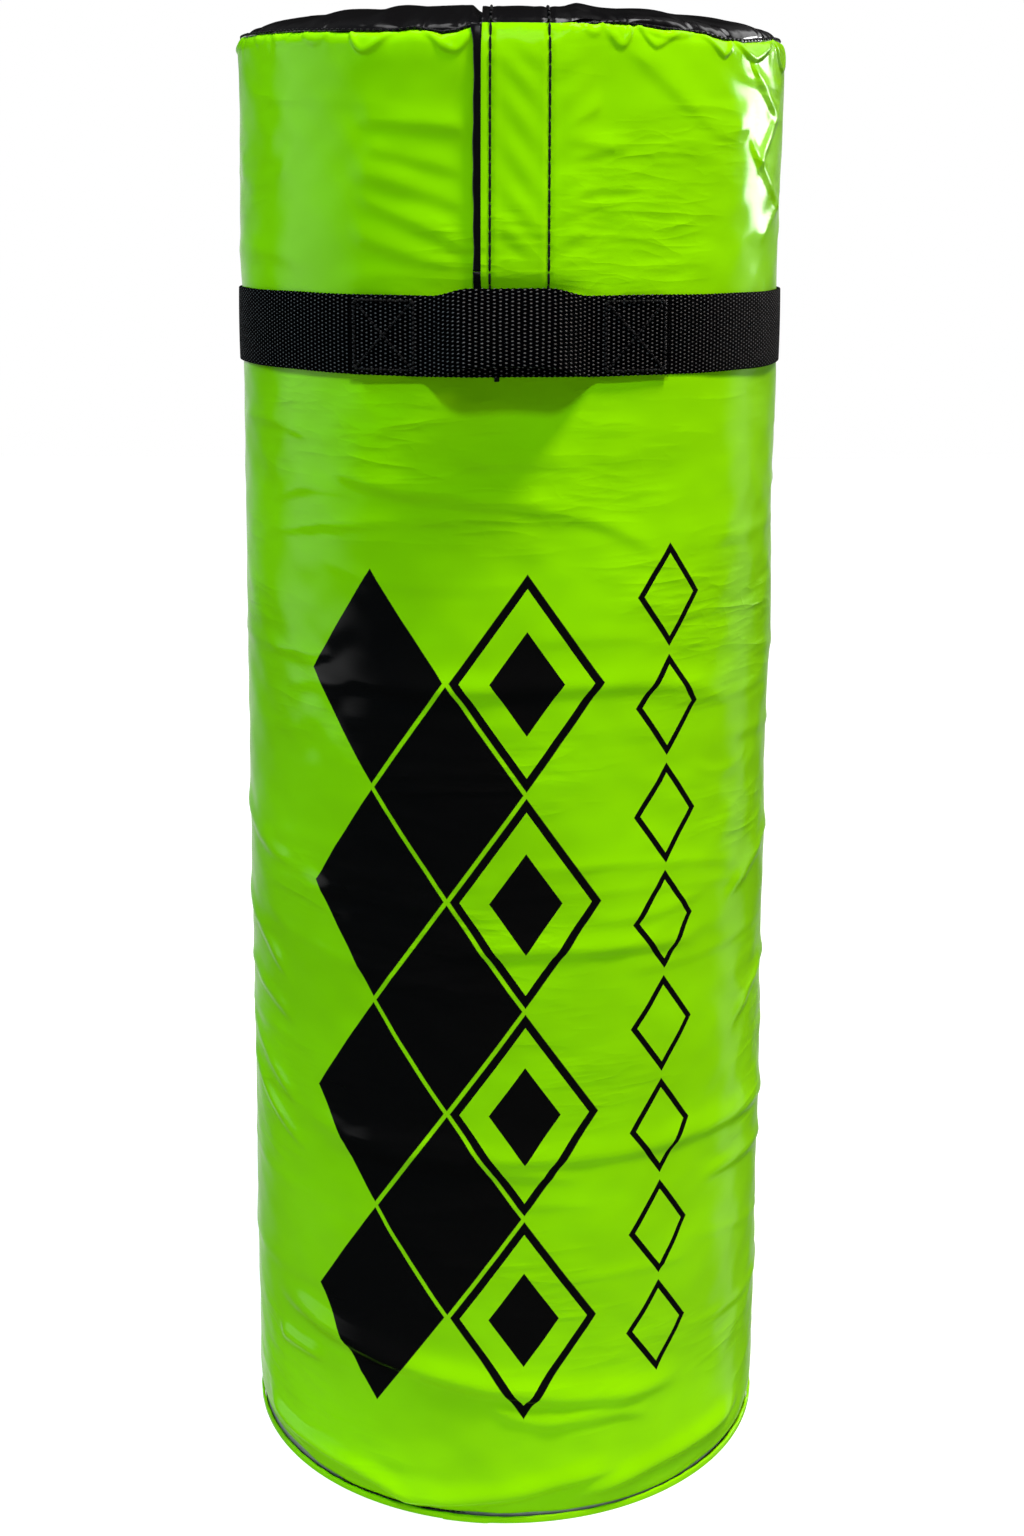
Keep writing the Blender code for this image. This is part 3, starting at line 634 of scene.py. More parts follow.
@dataclass
class CoverRelief:
    """How the cover stands off an even tube: folds, the foam's own waves and the belt's pull."""

    bag: Bag
    random_folds: int = 130
    wave_counts: tuple[int, int] = (14, 18)
    wave_height: float = 0.00045
    ripple_height: float = 0.00010
    belt_pull: float = 0.0009
    deepened: float = 1.25
    hem_height: float = 0.0007
    hem_middle: float = 0.030
    strip_span: tuple[float, float] = (-0.032, 0.036)
    strip_fade: float = 0.010
    # Folds seen from the front: at the foot, up the side, then round the closure strip
    folds: tuple[Fold, ...] = (
        Fold(((-0.207, 0.030), (-0.160, 0.026), (-0.110, 0.0235), (-0.070, 0.0125)), 0.0085, 0.0042),
        Fold(((0.059, 0.021), (0.100, 0.027), (0.150, 0.0305), (0.194, 0.032)), 0.0085, 0.0038),
        Fold(((-0.072, 0.013), (-0.031, 0.0162), (0.003, 0.0226), (0.068, 0.0348)), 0.009, 0.0036),
        Fold(((-0.174, 0.123), (-0.095, 0.1132), (-0.018, 0.1023), (0.050, 0.0893), (0.113, 0.085)),
             0.011, 0.0036),
        Fold(((-0.190, 0.0913), (-0.168, 0.0926), (-0.144, 0.0939)), 0.008, 0.0022),
        Fold(((-0.010, 0.0864), (0.016, 0.0755), (0.050, 0.0737), (0.097, 0.0684)), 0.008, 0.0020),
        Fold(((-0.131, 0.267), (-0.020, 0.2665), (0.048, 0.2602), (0.110, 0.2652), (0.270, 0.249)),
             0.011, 0.0022),
        Fold(((-0.120, 0.257), (-0.030, 0.257), (0.040, 0.250)), 0.006, 0.0012),
        Fold(((0.160, 0.225), (0.200, 0.222), (0.270, 0.2143)), 0.007, 0.0014),
        Fold(((-0.115, 0.7181), (-0.064, 0.7092), (-0.007, 0.7045), (0.085, 0.678)), 0.009, 0.0013),
        Fold(((-0.090, 0.584), (-0.039, 0.579), (0.013, 0.5879), (0.079, 0.583), (0.150, 0.572)),
             0.011, 0.0020),
        Fold(((-0.035, 0.407), (0.030, 0.410), (0.130, 0.403)), 0.009, 0.0016),
        Fold(((-0.250, 0.285), (-0.200, 0.263), (-0.160, 0.246)), 0.007, 0.0016),
        Fold(((-0.260, 0.312), (-0.210, 0.293), (-0.170, 0.277)), 0.007, 0.0014),
        Fold(((-0.260, 0.352), (-0.220, 0.345), (-0.175, 0.335)), 0.007, 0.0014),
        Fold(((-0.270, 0.402), (-0.220, 0.385), (-0.180, 0.365)), 0.008, 0.0014),
        Fold(((-0.270, 0.470), (-0.210, 0.452), (-0.170, 0.446)), 0.008, 0.0012),
        Fold(((0.190, 0.330), (0.230, 0.345), (0.280, 0.352)), 0.007, 0.0014),
        Fold(((0.180, 0.425), (0.220, 0.441), (0.270, 0.452)), 0.008, 0.0012),
        Fold(((-0.095, 0.9392), (-0.049, 0.9358), (-0.026, 0.9335)), 0.008, 0.0011),
        Fold(((-0.090, 0.923), (-0.043, 0.9119), (-0.026, 0.907)), 0.010, 0.0009),
        Fold(((-0.100, 0.907), (-0.056, 0.8969), (-0.026, 0.887)), 0.010, 0.0010),
        Fold(((-0.095, 0.891), (-0.056, 0.8757), (-0.028, 0.864)), 0.009, 0.0011),
        Fold(((-0.100, 0.869), (-0.063, 0.8574), (-0.034, 0.852)), 0.009, 0.0009),
        Fold(((0.073, 0.9812), (0.112, 0.9557), (0.142, 0.9384), (0.179, 0.9397)), 0.014, 0.0012),
        Fold(((0.026, 0.930), (0.036, 0.937), (0.055, 0.947)), 0.009, 0.0009),
        Fold(((0.026, 0.912), (0.056, 0.9213), (0.075, 0.924)), 0.009, 0.0009),
        Fold(((0.026, 0.891), (0.063, 0.9003), (0.080, 0.901)), 0.009, 0.0008),
        Fold(((0.185, 0.978), (0.205, 0.962), (0.230, 0.948)), 0.007, 0.0012),
        Fold(((0.196, 0.915), (0.218, 0.935), (0.240, 0.950)), 0.007, 0.0012),
        Fold(((0.186, 0.925), (0.212, 0.905), (0.240, 0.886)), 0.007, 0.0011),
        Fold(((0.200, 0.868), (0.226, 0.882), (0.250, 0.895)), 0.006, 0.0009),
    )
    all_folds: list[Fold] = field(default_factory=list)
    waves: Array | None = None

    def __post_init__(self) -> None:
        """Draws the folds and waves that have no place of their own."""
        rng = np.random.default_rng(SEED)
        self.all_folds = list(self.folds)
        for _ in range(self.random_folds):
            middle, height = rng.uniform(-self.bag.half_turn, self.bag.half_turn), rng.uniform(0.04, 0.97)
            half, lean, sag = rng.uniform(0.03, 0.11), rng.normal(0, 0.09), rng.uniform(-0.01, 0.01)
            places = tuple((middle + side * half, height + lean * side * half + sag * (side == 0))
                           for side in (-1, 0, 1))
            self.all_folds.append(Fold(places, rng.uniform(0.003, 0.009), rng.uniform(0.0002, 0.0007)))
        slow, quick = self.wave_counts
        counts = np.concatenate([rng.integers(2, 9, slow), rng.integers(3, 34, quick)])
        climbs = np.concatenate([rng.uniform(-40, 40, slow),
                                 rng.choice([-1, 1], quick) * rng.uniform(80, 230, quick)])
        heights = np.repeat([self.wave_height, self.ripple_height], self.wave_counts) / 2
        self.waves = np.column_stack([counts, climbs, rng.uniform(0, math.tau, slow + quick), heights])

    def at(self, arc: Array, height: Array) -> Array:
        """How far the cover's face stands out.

        Args:
            arc: Arcs from the front line.
            height: Heights above the floor.

        Returns:
            Distances outwards.
        """
        bag = self.bag
        arc, height = np.broadcast_arrays(np.asarray(arc, float), np.asarray(height, float))
        total = np.zeros(arc.shape)
        for fold in self.all_folds:
            total += self.deepened * fold.lift(arc, height, 2 * bag.half_turn)
        for count, climb, phase, size in self.waves:
            total += size * np.cos(count * arc / bag.radius + climb * height + phase)
        from_belt = height - bag.belt_middle
        total = total * (1 - bell(from_belt, 0.034) ** 4) * smooth((bag.rim - height) / 0.02)
        angle = arc / bag.radius
        hem = bell(height - self.hem_middle, 0.022)
        lobes = np.cos(13 * angle + 2.2 * np.sin(3 * angle) + 30 * (height - self.hem_middle))
        total += self.hem_height * hem * (lobes - 0.2) * smooth((height - 0.006) / 0.012)
        flat = window(arc, *self.strip_span, self.strip_fade) * smooth((height - bag.belt_low) / 0.02 + 1)
        return total * (1 - flat) - self.belt_pull * bell(from_belt, 0.030) ** 2


class Sheets:
    """Makes meshes from flat sheets that are laid in place."""

    @staticmethod
    def grid(arcs: Sequence[float], runs: Sequence[float]) -> bmesh.types.BMesh:
        """A flat grid with a column at each arc and a row at each run.

        Args:
            arcs: Arcs of its columns.
            runs: Runs of its rows.

        Returns:
            The grid.
        """
        bm = bmesh.new()
        bmesh.ops.create_grid(bm, x_segments=len(arcs) - 1, y_segments=len(runs) - 1, size=1)
        arcs, runs = np.asarray(arcs, float), np.asarray(runs, float)
        for vert in bm.verts:
            column = round((vert.co.x + 1) / 2 * (len(arcs) - 1))
            row = round((vert.co.y + 1) / 2 * (len(runs) - 1))
            vert.co = (arcs[column], runs[row], 0)
        return bm

    @classmethod
    def banded(cls, span: tuple[float, float],
               bands: Sequence[tuple[int, Sequence[float]]]) -> bmesh.types.BMesh:
        """A flat sheet in bands of unlike fineness.

        Args:
            span: Its first and last arc.
            bands: The columns and the rows' runs of each band; each band's last row is the next one's
                first, with half or twice its columns, or as many.

        Returns:
            The sheet, its bands joined.
        """
        whole = bmesh.new()
        for index, (columns, runs) in enumerate(bands):
            part = cls.grid(np.linspace(*span, columns + 1), runs)
            for other, edge_run in ((index - 1, runs[0]), (index + 1, runs[-1])):
                if 0 <= other < len(bands) and bands[other][0] == 2 * columns:
                    edges = [edge for edge in part.edges
                             if all(abs(vert.co.y - edge_run) < 1e-7 for vert in edge.verts)]
                    bmesh.ops.subdivide_edges(part, edges=edges, cuts=1)
            mesh = as_mesh("band", part)
            whole.from_mesh(mesh)
            bpy.data.meshes.remove(mesh)
        bmesh.ops.remove_doubles(whole, verts=whole.verts, dist=MERGE)
        return whole

    @staticmethod
    def cut_window(bm: bmesh.types.BMesh, low: tuple[float, float], high: tuple[float, float],
                   reach: tuple[float, float]) -> None:
        """Cuts a rectangle of X and Y out of a sheet.

        Args:
            bm: The sheet.
            low: The rectangle's lowest corner; a side at minus infinity isn't cut.
            high: Its highest corner.
            reach: How far round it, in X and in Y, the faces may be cut.
        """
        def within(spare: tuple[float, float]) -> list[bmesh.types.BMFace]:
            """The faces with their middle in the window, widened by the spare.

            Args:
                spare: How much wider the window is on each side.

            Returns:
                The faces.
            """
            return [face for face in bm.faces
                    if all(low[i] - spare[i] < face.calc_center_median()[i] < high[i] + spare[i]
                           for i in (0, 1))]

        for axis in (0, 1):
            for place in (low[axis], high[axis]):
                if math.isinf(place):
                    continue
                near = within(reach)
                parts = {part for face in near for part in (*face.verts, *face.edges)} | set(near)
                normal = Vector((1 - axis, axis, 0))
                bmesh.ops.bisect_plane(bm, geom=list(parts), plane_co=normal * place, plane_no=normal)
        bmesh.ops.delete(bm, geom=within((0, 0)), context="FACES")

    @staticmethod
    def lay(name: str, bm: bmesh.types.BMesh, place: Place, flat: Place | None = None,
            outwards: bool = False) -> bpy.types.Object:
        """Lays a flat sheet in place.

        Args:
            name: The piece's name.
            bm: The flat sheet; it is freed.
            place: Gives the points of arrays of the sheet's two coordinates.
            flat: Gives the two pattern coordinates where they aren't the sheet's own.
            outwards: Whether to turn a closed body's faces outwards.

        Returns:
            The piece.
        """
        mesh = as_mesh(name, bm)
        first, second = corners_of(mesh)[:, :2].T
        pattern = stack(first, second) if flat is None else flat(first, second)
        corners = np.empty(len(mesh.loops), np.int32)
        mesh.loops.foreach_get("vertex_index", corners)
        mesh.uv_layers.new(name="flat").uv.foreach_set("vector", pattern[corners].ravel())
        mesh.vertices.foreach_set("co", place(first, second).ravel())
        with edited(mesh) as bm:
            bmesh.ops.remove_doubles(bm, verts=bm.verts, dist=MERGE)
            if outwards:
                bmesh.ops.recalc_face_normals(bm, faces=bm.faces)
        mesh.shade_smooth()
        return in_scene(name, mesh)

    @staticmethod
    def hem(obj: bpy.types.Object, depth: float) -> None:
        """Turns a sheet's open edges inwards, so that it shows no bare edge.

        Args:
            obj: The sheet.
            depth: How far the edges turn in.
        """
        with edited(obj.data) as bm:
            bm.normal_update()
            edges = [edge for edge in bm.edges if edge.is_boundary]
            inward = {vert: -vert.normal for edge in edges for vert in edge.verts}
            made = bmesh.ops.extrude_edge_only(bm, edges=edges)["geom"]
            for vert in made:
                if isinstance(vert, bmesh.types.BMVert):
                    source = next(edge.other_vert(vert) for edge in vert.link_edges
                                  if edge.other_vert(vert) in inward)
                    vert.co += inward[source] * depth
            for edge in edges:
                edge.smooth = False

    @staticmethod
    def thicken(obj: bpy.types.Object, thickness: float) -> None:
        """Gives an open sheet its thickness, inwards from its face.

        Args:
            obj: The sheet.
            thickness: Its thickness.
        """
        with edited(obj.data) as bm:
            bmesh.ops.solidify(bm, geom=list(bm.faces), thickness=thickness)
            for edge in bm.edges:
                if edge.is_manifold and edge.calc_face_angle() > math.radians(50):
                    edge.smooth = False

    @staticmethod
    def face_up(obj: bpy.types.Object) -> None:
        """Turns a sheet's faces over if most of them face down.

        Args:
            obj: The sheet.
        """
        with edited(obj.data) as bm:
            bm.normal_update()
            if sum(face.normal.z * face.calc_area() for face in bm.faces) < 0:
                bmesh.ops.reverse_faces(bm, faces=bm.faces)

    @classmethod
    def turned(cls, name: str, profile: Sequence[tuple[float, float]], columns: int, bag: Bag,
               wobble: float = 0.0) -> bpy.types.Object:
        """A closed body turned round the bag's axis, with soft waves if a wobble is given.

        Args:
            name: The piece's name.
            profile: Radius and height of its points, from pole to pole.
            columns: Steps round the axis.
            bag: The bag, whose arcs the pattern is laid out by.
            wobble: Height of its waves.

        Returns:
            The piece.
        """
        points = np.asarray(profile, float)
        bm = cls.grid(np.linspace(*bag.span, columns + 1), np.arange(len(points)))

        def place(arc: Array, row: Array) -> Array:
            """Points of the turned sheet, which wavers a little.

            Args:
                arc: Arcs round the axis.
                row: Indices into the profile.

            Returns:
                The points.
            """
            radius, height = points[np.rint(row).astype(int)].T
            angle = arc / bag.radius
            wave = wobble * (np.sin(5 * angle + 21 * height) + np.sin(3 * angle - 34 * height))
            return polar(radius + wave * (radius > 0), angle, height)

        return cls.lay(name, bm, place, outwards=True)

    @classmethod
    def swept(cls, name: str, stations: Sequence[float], section: Sequence[tuple[float, float]],
              place: Callable[[Array, Array, Array], Array], capped: bool = True) -> bpy.types.Object:
        """A closed section swept along stations.

        Args:
            name: The piece's name.
            stations: Places along the sweep.
            section: The section's points, as two coordinates each, in order round it.
            place: Gives points of arrays of station, first and second section coordinate.
            capped: Whether the ends are closed.

        Returns:
            The piece.
        """
        corners = np.asarray([*section, section[0]], float)

        def laid(station: Array, turn: Array) -> Array:
            """Points of the bar where it lies."""
            return place(station, *corners[np.rint(turn).astype(int)].T)

        def flat(station: Array, turn: Array) -> Array:
            """Points of the bar laid out flat."""
            return stack(station, corners[np.rint(turn).astype(int), 0])

        obj = cls.lay(name, cls.grid(stations, np.arange(len(corners))), laid, flat)
        with edited(obj.data) as bm:
            if capped:
                bmesh.ops.holes_fill(bm, edges=[edge for edge in bm.edges if edge.is_boundary], sides=0)
            bmesh.ops.recalc_face_normals(bm, faces=bm.faces)
        obj.data.shade_smooth()
        return obj


class Stitcher:
    """Sews rows of stitches from one small template."""

    def __init__(self, radius: float = 0.0008) -> None:
        """Makes the template stitch, of thread with this radius.

        Args:
            radius: Radius of the thread.
        """
        self.radius = radius
        bm = bmesh.new()
        bmesh.ops.create_uvsphere(bm, u_segments=8, v_segments=7, radius=1)
        bmesh.ops.rotate(bm, matrix=Matrix.Rotation(math.pi / 2, 3, "Y"), verts=bm.verts)
        for vert in bm.verts:
            along = vert.co.x
            full = math.sqrt((1 - along ** 6) / max(1 - along ** 2, 1e-6)) if abs(along) < 1 else 1
            vert.co.y *= full
            vert.co.z = vert.co.z * full - 0.9 * along ** 4
        self.template = as_mesh("stitch", bm)

    def row(self, name: str, lines: Iterable[tuple[Array, Array]], pitch: float, share: float = 1.03,
            sunk: float = 0.3) -> bpy.types.Object:
        """Sews stitches along lines.

        Args:
            name: The piece's name.
            lines: Points of each line, and the outward direction at each.
            pitch: Distance from one needle hole to the next.
            share: Share of the pitch that a stitch's thread covers.
            sunk: Share of its radius by which it lies in the cloth.

        Returns:
            The row as one piece.
        """
        bm = bmesh.new()
        for points, outwards in lines:
            steps = np.linalg.norm(np.diff(points, axis=0), axis=1)
            run = np.concatenate([[0], np.cumsum(steps)])
            count = max(1, round(run[-1] / pitch))
            for index in range(count):
                middle = (index + 0.5) * run[-1] / count
                half = run[-1] / count / 2 * share
                places = [np.array([np.interp(at, run, points[:, k]) for k in range(3)])
                          for at in (middle - half, middle, middle + half)]
                up = Vector([np.interp(middle, run, outwards[:, k]) for k in range(3)]).normalized()
                along = Vector(places[2] - places[0])
                along = (along - along.dot(up) * up).normalized()
                side = up.cross(along)
                centre = Vector(places[1]) + up * self.radius * (1 - sunk)
                frame = Matrix((along * half, side * self.radius, up * self.radius)).transposed().to_4x4()
                copy = self.template.copy()
                copy.transform(Matrix.Translation(centre) @ frame)
                bm.from_mesh(copy)
                bpy.data.meshes.remove(copy)
        mesh = as_mesh(name, bm)
        mesh.shade_smooth()
        return in_scene(name, mesh)


class Graph:
    """Adds nodes to a tree and wires them."""

    def __init__(self, tree: bpy.types.NodeTree) -> None:
        """Wraps the tree."""
        self.tree = tree

    def node(self, kind: str, inputs: dict | None = None, **settings: object) -> bpy.types.Node:
        """Adds a node.

        Args:
            kind: Its type.
            inputs: Values or sockets for its inputs.
            settings: Its own settings.

        Returns:
            The node.
        """
        node = self.tree.nodes.new(kind)
        for name, value in settings.items():
            setattr(node, name, value)
        return self.feed(node, inputs or {})

    def feed(self, node: bpy.types.Node, inputs: dict) -> bpy.types.Node:
        """Wires sockets into a node's inputs, or sets their values, and gives back the node.

        Args:
            node: The node.
            inputs: Sockets or values by the input's name.

        Returns:
            The node.
        """
        for name, value in inputs.items():
            if isinstance(value, bpy.types.NodeSocket):
                self.tree.links.new(value, node.inputs[name])
            else:
                node.inputs[name].default_value = value
        return node

    def group(self, tree: bpy.types.NodeTree, inputs: dict) -> bpy.types.Node:
        """Adds a node group."""
        return self.node("ShaderNodeGroup", inputs, node_tree=tree)

    def flat(self) -> bpy.types.NodeSocket:
        """The pattern coordinates, in metres."""
        return self.node("ShaderNodeUVMap", uv_map="flat").outputs["UV"]

    def place(self) -> bpy.types.NodeSocket:
        """The object coordinates, in metres."""
        return self.node("ShaderNodeTexCoord").outputs["Object"]

    def parts(self, vector: bpy.types.NodeSocket) -> bpy.types.NodeOutputs:
        """A vector's X, Y and Z."""
        return self.node("ShaderNodeSeparateXYZ", {"Vector": vector}).outputs

    def bump(self, shader: bpy.types.Node, height: bpy.types.NodeSocket, distance: float = 1.0,
             strength: float = 1.0) -> None:
        """Gives a shader a bumped face."""
        bump = self.node("ShaderNodeBump", {"Height": height, "Distance": distance, "Strength": strength})
        self.feed(shader, {"Normal": bump.outputs["Normal"]})

    def math(self, operation: str, *values: object, clamp: bool = False) -> bpy.types.NodeSocket:
        """The result of a Math node."""
        node = self.node("ShaderNodeMath", dict(enumerate(values)), operation=operation, use_clamp=clamp)
        return node.outputs[0]

    def ramp(self, value: bpy.types.NodeSocket, low: float, high: float, smooth_ends: bool = True,
             to: tuple[float, float] = (0, 1)) -> bpy.types.NodeSocket:
        """A value mapped from one range to another, held at its ends.

        Args:
            value: The value.
            low: Start of its range.
            high: End of its range.
            smooth_ends: Whether it eases in and out.
            to: The range that it is mapped to.

        Returns:
            The mapped value.
        """
        kind = "SMOOTHSTEP" if smooth_ends else "LINEAR"
        node = self.node("ShaderNodeMapRange", {"Value": value, "From Min": low, "From Max": high,
                                                "To Min": to[0], "To Max": to[1]}, interpolation_type=kind)
        return node.outputs["Result"]

    def noise(self, vector: bpy.types.NodeSocket, scale: float, detail: float = 2,
              roughness: float = 0.5) -> bpy.types.NodeSocket:
        """A noise pattern's value.

        Args:
            vector: Where it is read.
            scale: Its scale.
            detail: Its detail.
            roughness: Its roughness.

        Returns:
            The value.
        """
        node = self.node("ShaderNodeTexNoise", {"Vector": vector, "Scale": scale, "Detail": detail,
                                                "Roughness": roughness})
        return node.outputs["Fac"]

    def stretched(self, vector: bpy.types.NodeSocket, scale: tuple[float, float, float],
                  turn: float = 0) -> bpy.types.NodeSocket:
        """A vector scaled by axis, after a turn about Z."""
        node = self.node("ShaderNodeMapping", {"Vector": vector, "Scale": scale, "Rotation": (0, 0, turn)})
        return node.outputs["Vector"]

    def tint(self, factor: object, low: object, high: object) -> bpy.types.NodeSocket:
        """A mix of two colours.

        Args:
            factor: Share of the second colour.
            low: The first colour.
            high: The second colour.

        Returns:
            The mix.
        """
        low, high = (end if isinstance(end, bpy.types.NodeSocket) else (*end, 1) for end in (low, high))
        node = self.node("ShaderNodeMix", {0: factor, 6: low, 7: high}, data_type="RGBA")
        return node.outputs[2]


class Pattern:
    """Node groups that more than one material can place, each built once."""

    @staticmethod
    def _start(name: str, inputs: dict[str, float | None],
               outputs: Sequence[str]) -> tuple[Graph, bpy.types.NodeOutputs, bpy.types.Node]:
        """An empty group with its sockets.

        Args:
            name: The group's name.
            inputs: A default for each number, and None for a vector.
            outputs: Names of its output values.

        Returns:
            The group's graph, its inputs by name and its output node.
        """
        group = bpy.data.node_groups.new(name, "ShaderNodeTree")
        for label, value in inputs.items():
            kind = "NodeSocketVector" if value is None else "NodeSocketFloat"
            socket = group.interface.new_socket(label, in_out="INPUT", socket_type=kind)
            if value is not None:
                socket.default_value = value
        for label in outputs:
            group.interface.new_socket(label, in_out="OUTPUT", socket_type="NodeSocketFloat")
        graph = Graph(group)
        return graph, graph.node("NodeGroupInput").outputs, graph.node("NodeGroupOutput")

    @classmethod
    def coated_face(cls) -> bpy.types.NodeTree:
        """Fine creases and grain of a coated fabric: the face's height in metres, and its sheen's mask.

        Returns:
            The node group.
        """
        graph, entry, exit_node = cls._start(
            "coated_face", {"Flat": None, "Crease": 0.0002, "Grain": 0.00001}, ("Height", "Polish"))
        flat = entry["Flat"]
        drift = graph.noise(graph.stretched(flat, (5, 9, 1)), 1.0, 3)
        creases = 0
        for scale, turn, share in (((7, 40, 1), 0.05, 1.0), ((13, 72, 1), -0.12, 0.4),
                                   ((30, 50, 1), 0.6, 0.3)):
            wave = graph.noise(graph.stretched(flat, scale, turn), 1.0, 2, 0.45)
            ridge = graph.math("SUBTRACT", 1.0, graph.math("ABSOLUTE", graph.math(
                "MULTIPLY_ADD", wave, 4.0, -2.0)), clamp=True)
            sharp = graph.math("MULTIPLY", graph.math("POWER", ridge, 2.2), share)
            creases = graph.math("ADD", sharp, creases)
        gate = graph.ramp(drift, 0.42, 0.68)
        lifted = graph.math("MULTIPLY", graph.math("MULTIPLY", creases, gate), entry["Crease"])
        grain = graph.math("MULTIPLY", graph.noise(flat, 1400.0, 3, 0.6), entry["Grain"])
        ribs = graph.math("SINE", graph.math("MULTIPLY", graph.parts(flat)["X"], 5200.0))
        weave = graph.math("MULTIPLY", ribs, 0.0000008)
        graph.feed(exit_node, {"Height": graph.math("ADD", graph.math("ADD", lifted, grain), weave),
                               "Polish": graph.noise(graph.stretched(flat, (30, 60, 1)), 1.0, 4, 0.6)})
        return graph.tree

    @classmethod
    def woven_face(cls) -> bpy.types.NodeTree:
        """Staggered yarns of a webbing or tape: the height as a share, and a mask of the raised yarns, which
        the tapes paint lighter as a painted glint.

        Returns:
            The node group.
        """
        graph, entry, exit_node = cls._start(
            "woven_face", {"Flat": None, "Along": 0.0033, "Across": 0.0025, "Fill": 0.47},
            ("Height", "Yarn Glint"))
        parts = graph.parts(entry["Flat"])
        wander = graph.math("MULTIPLY_ADD", graph.noise(entry["Flat"], 120.0, 2), 0.5, -0.25)
        column = graph.math("ADD", graph.math("DIVIDE", parts["X"], entry["Along"]),
                            graph.math("MULTIPLY", wander, 0.6))
        odd = graph.math("FLOORED_MODULO", graph.math("FLOOR", column), 2.0)
        line = graph.math("MULTIPLY_ADD", odd, 0.5, graph.math(
            "ADD", graph.math("DIVIDE", parts["Y"], entry["Across"]), wander))
        side = graph.math("SUBTRACT", graph.math("FRACT", column), 0.5)
        rise = graph.math("SUBTRACT", graph.math("FRACT", line), 0.5)
        distance = graph.math("SQRT", graph.math(
            "ADD", graph.math("POWER", graph.math("MULTIPLY", side, 1.5), 2.0),
            graph.math("POWER", graph.math("MULTIPLY", rise, 1.9), 2.0)))
        mask = graph.ramp(distance, entry["Fill"], 0.12)
        rib = graph.math("ABSOLUTE", graph.math("MULTIPLY", side, 2.0))
        fibre = graph.noise(graph.stretched(entry["Flat"], (900, 9000, 1)), 1.0, 2)
        height = graph.math("MULTIPLY_ADD", rib, -0.35, graph.math("MULTIPLY_ADD", fibre, 0.14, mask))
        fuzz = graph.math("MULTIPLY_ADD", graph.noise(entry["Flat"], 260.0, 3), 1.1, 0.35)
        graph.feed(exit_node, {"Height": height, "Yarn Glint": graph.math("MULTIPLY", mask, fuzz, clamp=True)})
        return graph.tree

    @classmethod
    def lozenges(cls) -> bpy.types.NodeTree:
        """A column of standing diamonds: 1 on them, 0 off them.

        Returns:
            The node group.
        """
        graph, entry, exit_node = cls._start(
            "lozenges", {"Flat": None, "Arc": 0, "First": 0.14, "Pitch": 0.15, "Count": 4, "Half Width": 0.04,
                         "Half Height": 0.07, "Line": 1.0}, ("Mask",))
        parts = graph.parts(entry["Flat"])
        step = graph.math("DIVIDE", graph.math("SUBTRACT", parts["Y"], entry["First"]), entry["Pitch"])
        index = graph.math("MINIMUM", graph.math("MAXIMUM", graph.math("ROUND", step), 0.0),
                           graph.math("SUBTRACT", entry["Count"], 1.0))
        rise = graph.math("MULTIPLY", graph.math("SUBTRACT", step, index), entry["Pitch"])
        across = graph.math("DIVIDE", graph.math("ABSOLUTE", graph.math(
            "SUBTRACT", parts["X"], entry["Arc"])), entry["Half Width"])
        along = graph.math("DIVIDE", graph.math("ABSOLUTE", rise), entry["Half Height"])
        distance = graph.math("ADD", across, along)
        inside = graph.ramp(distance, 1.006, 0.994, smooth_ends=False)
        inner = graph.math("SUBTRACT", 1.0, entry["Line"])
        hollow = graph.math("GREATER_THAN", inner, distance)
        graph.feed(exit_node, {"Mask": graph.math("SUBTRACT", inside, hollow, clamp=True)})
        return graph.tree

    @classmethod
    def cellular(cls) -> bpy.types.NodeTree:
        """Open cells of a cut foam: the height in metres, and a tone that varies.

        Returns:
            The node group.
        """
        graph, entry, exit_node = cls._start(
            "cellular", {"Place": None, "Cells": 700.0, "Depth": 0.0003}, ("Height", "Tone"))
        cells = graph.node("ShaderNodeTexVoronoi", {"Vector": entry["Place"], "Scale": entry["Cells"]})
        graph.feed(exit_node, {"Height": graph.math("MULTIPLY", cells.outputs["Distance"], entry["Depth"]),
                               "Tone": graph.noise(entry["Place"], 60.0, 4, 0.6)})
        return graph.tree

    @classmethod
    def handled(cls) -> bpy.types.NodeTree:
        """Where a bag gets scuffed: faint rubs, most near the floor. Reads object coordinates.

        Returns:
            The node group.
        """
        graph, entry, exit_node = cls._start("handled", {"Place": None, "Reach": 0.12}, ("Mask",))
        height = graph.math("DIVIDE", graph.parts(entry["Place"])["Z"], entry["Reach"])
        low = graph.math("SUBTRACT", 1.0, height, clamp=True)
        streaks = graph.noise(graph.stretched(entry["Place"], (60, 60, 220)), 1.0, 5, 0.65)
        share = graph.math("MULTIPLY_ADD", low, 0.85, 0.15)
        graph.feed(exit_node, {"Mask": graph.math("MULTIPLY", graph.ramp(streaks, 0.52, 0.75), share)})
        return graph.tree


@dataclass(frozen=True)
class Print:
    """A column of the cover's printed diamonds, by its place, size and line's share."""

    arc: float
    first: float
    pitch: float
    count: int
    half_width: float
    half_height: float
    line: float = 1.0


PRINTS = (
    Print(-0.092, 0.150, 0.146, 4, 0.050, 0.071),
    Print(-0.040, 0.223, 0.146, 3, 0.050, 0.071),
    Print(0.012, 0.150, 0.146, 4, 0.050, 0.071, 0.13),
    Print(0.012, 0.150, 0.146, 4, 0.024, 0.034),
    Print(0.110, 0.130, 0.073, 8, 0.025, 0.034, 0.2),
)


